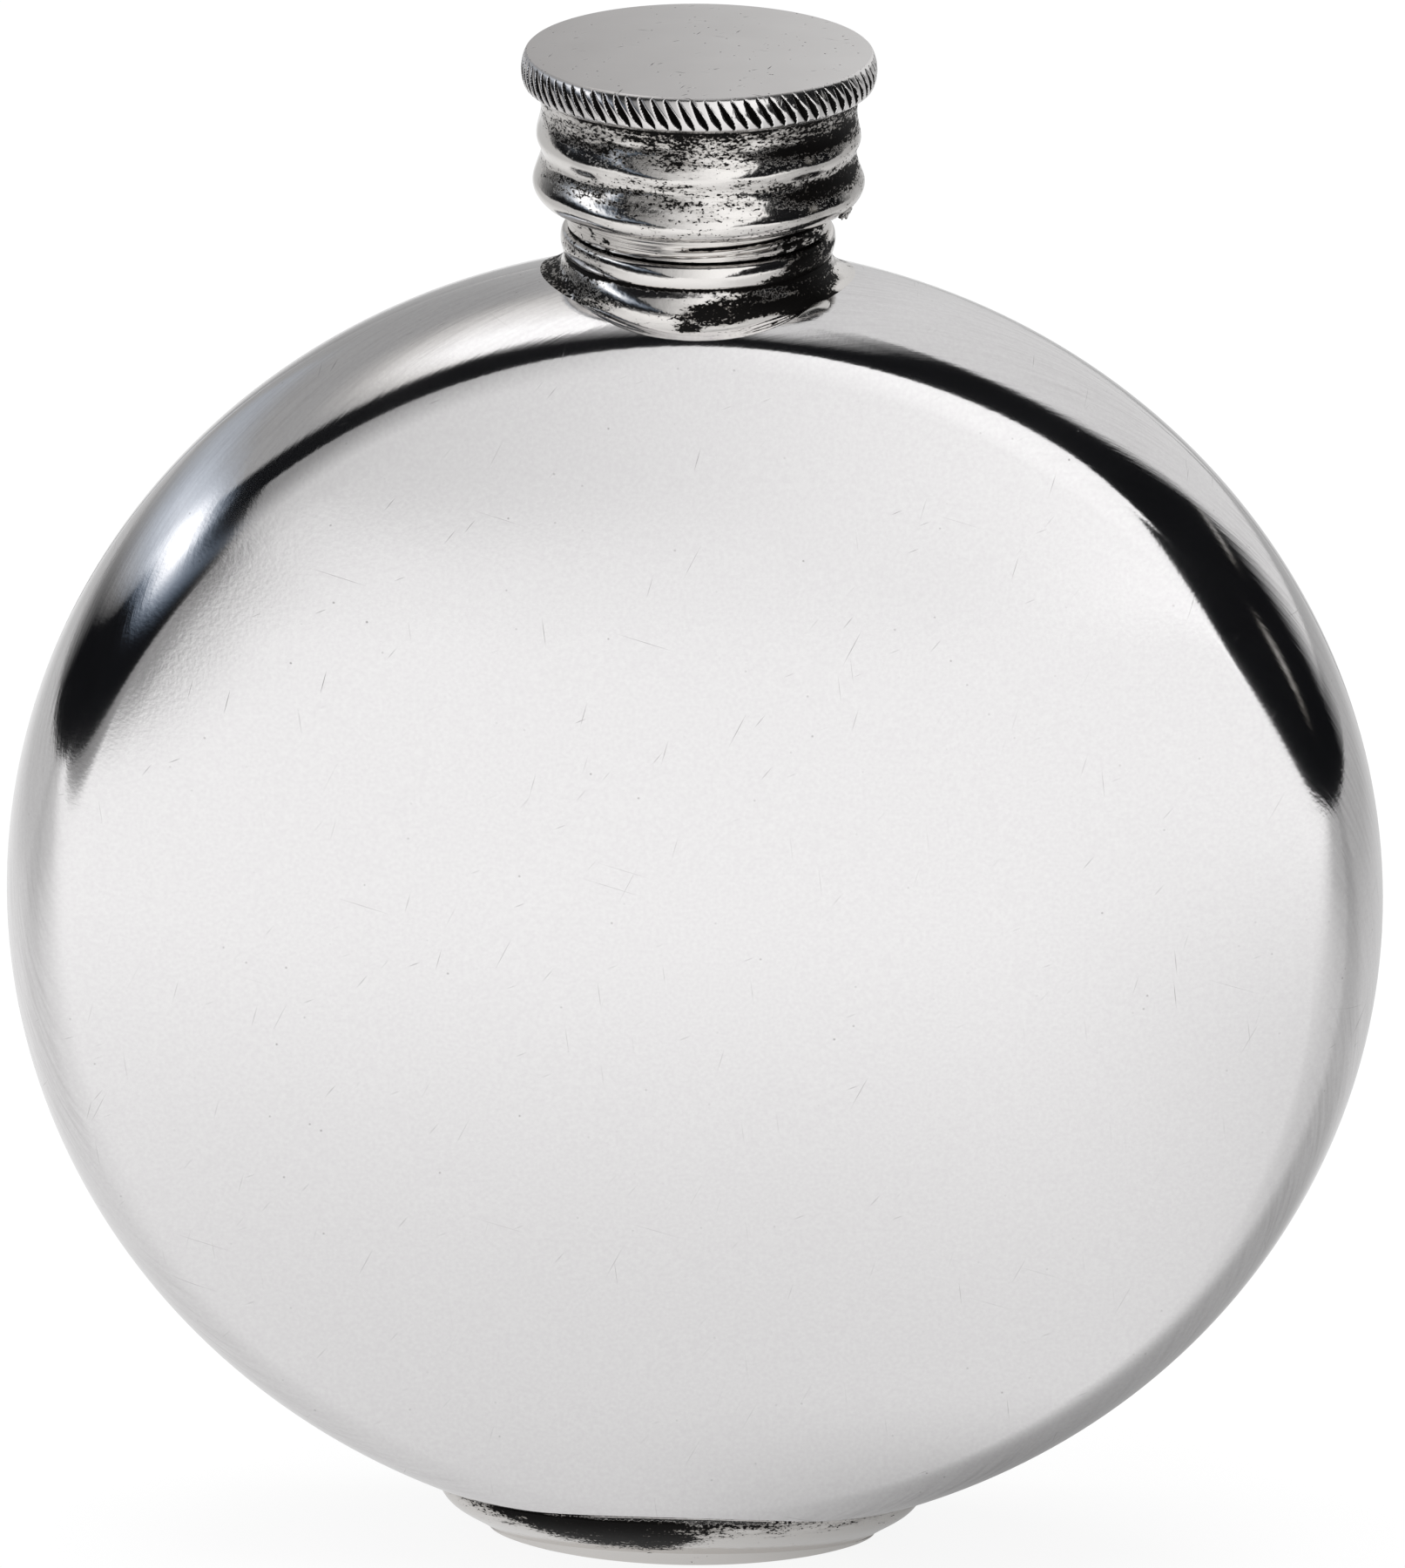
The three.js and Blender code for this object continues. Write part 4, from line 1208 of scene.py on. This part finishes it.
hang("strip_light", [0, 0.25, 0.75, 1, 0.75, 0.25, 0], [
    (-150, 0.5, 2, 25, 0.12), (-135, 0.5, 6, 29, 0.2), (-118, 0.5, 10, 32, 0.4), (-104, 0.5, 12, 35, 0.48),
    (-90, 0.5, 14, 34, 0.85), (-78, 0.5, 13, 32, 1), (-66, 0.47, 9, 28, 0.85), (-56, 0.43, 6, 22, 0.5),
    (-46, 0.4, 3, 16, 0.28), (-36, 0.34, -1, 11, 0.14), (-24, 0.29, -6, 4, 0),
], cloth("strip_diffuser", "93a9c4", "ffffff", 2.1))
hang("soft_box_face", [0, 0.2, 0.65, 0.95, 1, 1, 1], [
    (-165, 0.6, 44, 78, 0.2), (-140, 0.6, 43, 78, 0.6), (-118, 0.6, 42, 78, 0.8), (-95, 0.6, 42, 78, 1),
    (-40, 0.6, 42, 78, 1),
], cloth("soft_box_diffuser", "f4f0ea", "ffffff", 1.25))
# Light comes through two gaps in the curtain at the right, which draw thin streaks in the dark line
gap_light = cloth("light_through_gap", "d8d2c6", "ffffff", 0.7)
hang("curtain_gap_level", [0, 1, 0], [
    (103, 0.5, 20, 22.5, 0), (109, 0.5, 21, 23.5, 0.8), (113, 0.5, 22.7, 25.2, 1), (117, 0.5, 24, 26.5, 0),
], gap_light)
hang("curtain_gap_upright", [0, 0.4, 1, 0.8, 0], [
    (82, 0.5, 3, 17, 0), (86, 0.5, 3, 17, 0.8), (90, 0.5, 3, 17, 0),
], gap_light)


# %% [markdown]
# The reflector is a fan of white card in front of the curtain. Its glow is painted light, standing in for
# the light it would reflect. It is white at its foot, where its light ends softly at the left. Higher up
# the painted light turns grey towards the left.

# %% Front reflector
def painted_light_card():
    material, tree, place = blank_finish("painted_light_card")
    x, _, z = add(tree, "ShaderNodeSeparateXYZ", {0: place}).outputs
    # Painted light: white at the foot, and higher up greyer towards the left
    foot_light = falloff(tree, (x, 0.03, 0.085, 1.0, 1.18), (x, -0.1, -0.075, 0.35, 1))
    upper_light = falloff(tree, (x, -0.25, 0.12, 0.3, 1.15))
    above_foot = falloff(tree, (z, 0.012, 0.024, 0, 1))
    level = add(tree, "ShaderNodeMix", {0: above_foot, 2: foot_light, 3: upper_light}, data_type="FLOAT")
    glow = add(tree, "ShaderNodeEmission", {"Color": linear("ffffff"), "Strength": level.outputs[0]})
    add(tree, "ShaderNodeOutputMaterial", {"Surface": glow.outputs[0]})
    return material


REFLECTOR_Y = -0.285
fan = [(-0.08, 0.001), (0.109, 0.001), (0.29, 0.223), (0.468, 0.296), (0.416, 0.365), (0.28, 0.393),
       (0.098, 0.348), (-0.048, 0.311), (-0.322, 0.247)]
reflector = reflected_only(card("front_reflector", [(x, REFLECTOR_Y, z) for x, z in fan],
                                [tuple(range(len(fan)))], painted_light_card()))
print("stage:", reflector.name)

# %% [markdown]
# Two lamps add to the light of the tent, one above at the left and one overhead. A lamp's plain square
# would show in the metal, so reflections leave the lamps out and show the cards instead.

# %% Lamps
def soft_box(name, place, target, size, strength):
    """A square lamp whose face glows with that strength, where 1 is white. Reflections show the cards."""
    data = bpy.data.lights.new(name, "AREA")
    data.shape = "SQUARE"
    data.size = size
    data.energy = strength * math.pi * size**2
    lamp = bpy.data.objects.new(name, data)
    bpy.context.scene.collection.objects.link(lamp)
    lamp.location = place
    lamp.rotation_euler = (Vector(target) - Vector(place)).to_track_quat("-Z", "Y").to_euler()
    lamp.visible_glossy = False
    return lamp


middle_of_body = (0, 0, body_height * MM)
key = soft_box("upper_left_soft_box", (-0.36, -0.08, 0.72), middle_of_body, 0.4, 1.8)
overhead = soft_box("overhead_soft_box", (0.05, 0.1, 1.1), middle_of_body, 0.8, 3.0)
print("lamps:", key.name, overhead.name)

# %% [markdown]
# ## The white tent
# Round everything hangs a white tent, which is the world here. The camera sees it pure white. Metal and
# glass see it too, greyer to the left where it hangs in shade. All other rays get about its mean light.

# %% World
AMBIENT = 0.6
world = bpy.data.worlds.new("white_tent")
bpy.context.scene.world = world
world.use_nodes = True
sky = world.node_tree
sky.nodes.clear()
direction = add(sky, "ShaderNodeTexCoord").outputs["Generated"]
sideways = add(sky, "ShaderNodeSeparateXYZ", {0: direction}).outputs["X"]
ray, mirrored = mirrored_ray(sky)
reflected = falloff(sky, (sideways, -0.4, 0.35, 0.38, 0.76))
inside = add(sky, "ShaderNodeMix", {0: mirrored, 2: AMBIENT, 3: reflected}, data_type="FLOAT")
brightness = add(sky, "ShaderNodeMath", {0: inside.outputs[0], 1: ray["Is Camera Ray"]}, operation="MAXIMUM")
tent = add(sky, "ShaderNodeBackground", {"Color": linear("ffffff"), "Strength": brightness.outputs[0]})
add(sky, "ShaderNodeOutputWorld", {"Surface": tent.outputs[0]})
print("world:", world.name)

# %% [markdown]
# ## Camera
# The camera stands half a metre away, a little to the right and 23.5 degrees up, with a long lens. Its
# small turns away from the body's middle come from matching the flask's outline in the picture.

# %% Camera
CAMERA_AZIMUTH = math.radians(1.7164)
CAMERA_ELEVATION = math.radians(23.5466)
CAMERA_DISTANCE = 0.5
CAMERA_TURNS = [(0.3941, "Z"), (-1.1334, "X"), (-0.0744, "Y")]  # roll, pitch and yaw in degrees
PICTURE_LONG_SIDE = 1800
FOCAL_PIXELS = 7298.8
back = Vector((math.sin(CAMERA_AZIMUTH) * math.cos(CAMERA_ELEVATION),
               -math.cos(CAMERA_AZIMUTH) * math.cos(CAMERA_ELEVATION), math.sin(CAMERA_ELEVATION)))
right = (-back).cross(Vector((0, 0, 1))).normalized()
up = right.cross(-back)
axes = Matrix((right, -up, -back))
for degrees, axis in reversed(CAMERA_TURNS):
    axes = Matrix.Rotation(math.radians(degrees), 3, axis) @ axes
optics = bpy.data.cameras.new("camera")
optics.sensor_width = 36
optics.lens = FOCAL_PIXELS * optics.sensor_width / PICTURE_LONG_SIDE
camera = bpy.data.objects.new("camera", optics)
bpy.context.scene.collection.objects.link(camera)
pointing = Matrix((axes[0], -axes[1], -axes[2])).transposed().to_4x4()
camera.matrix_world = Matrix.Translation(Vector(middle_of_body) + back * CAMERA_DISTANCE) @ pointing
bpy.context.scene.camera = camera
bpy.context.scene.view_settings.view_transform = "Standard"
print(f"camera: {optics.lens:.0f} mm lens at {[round(v, 3) for v in camera.location]}")
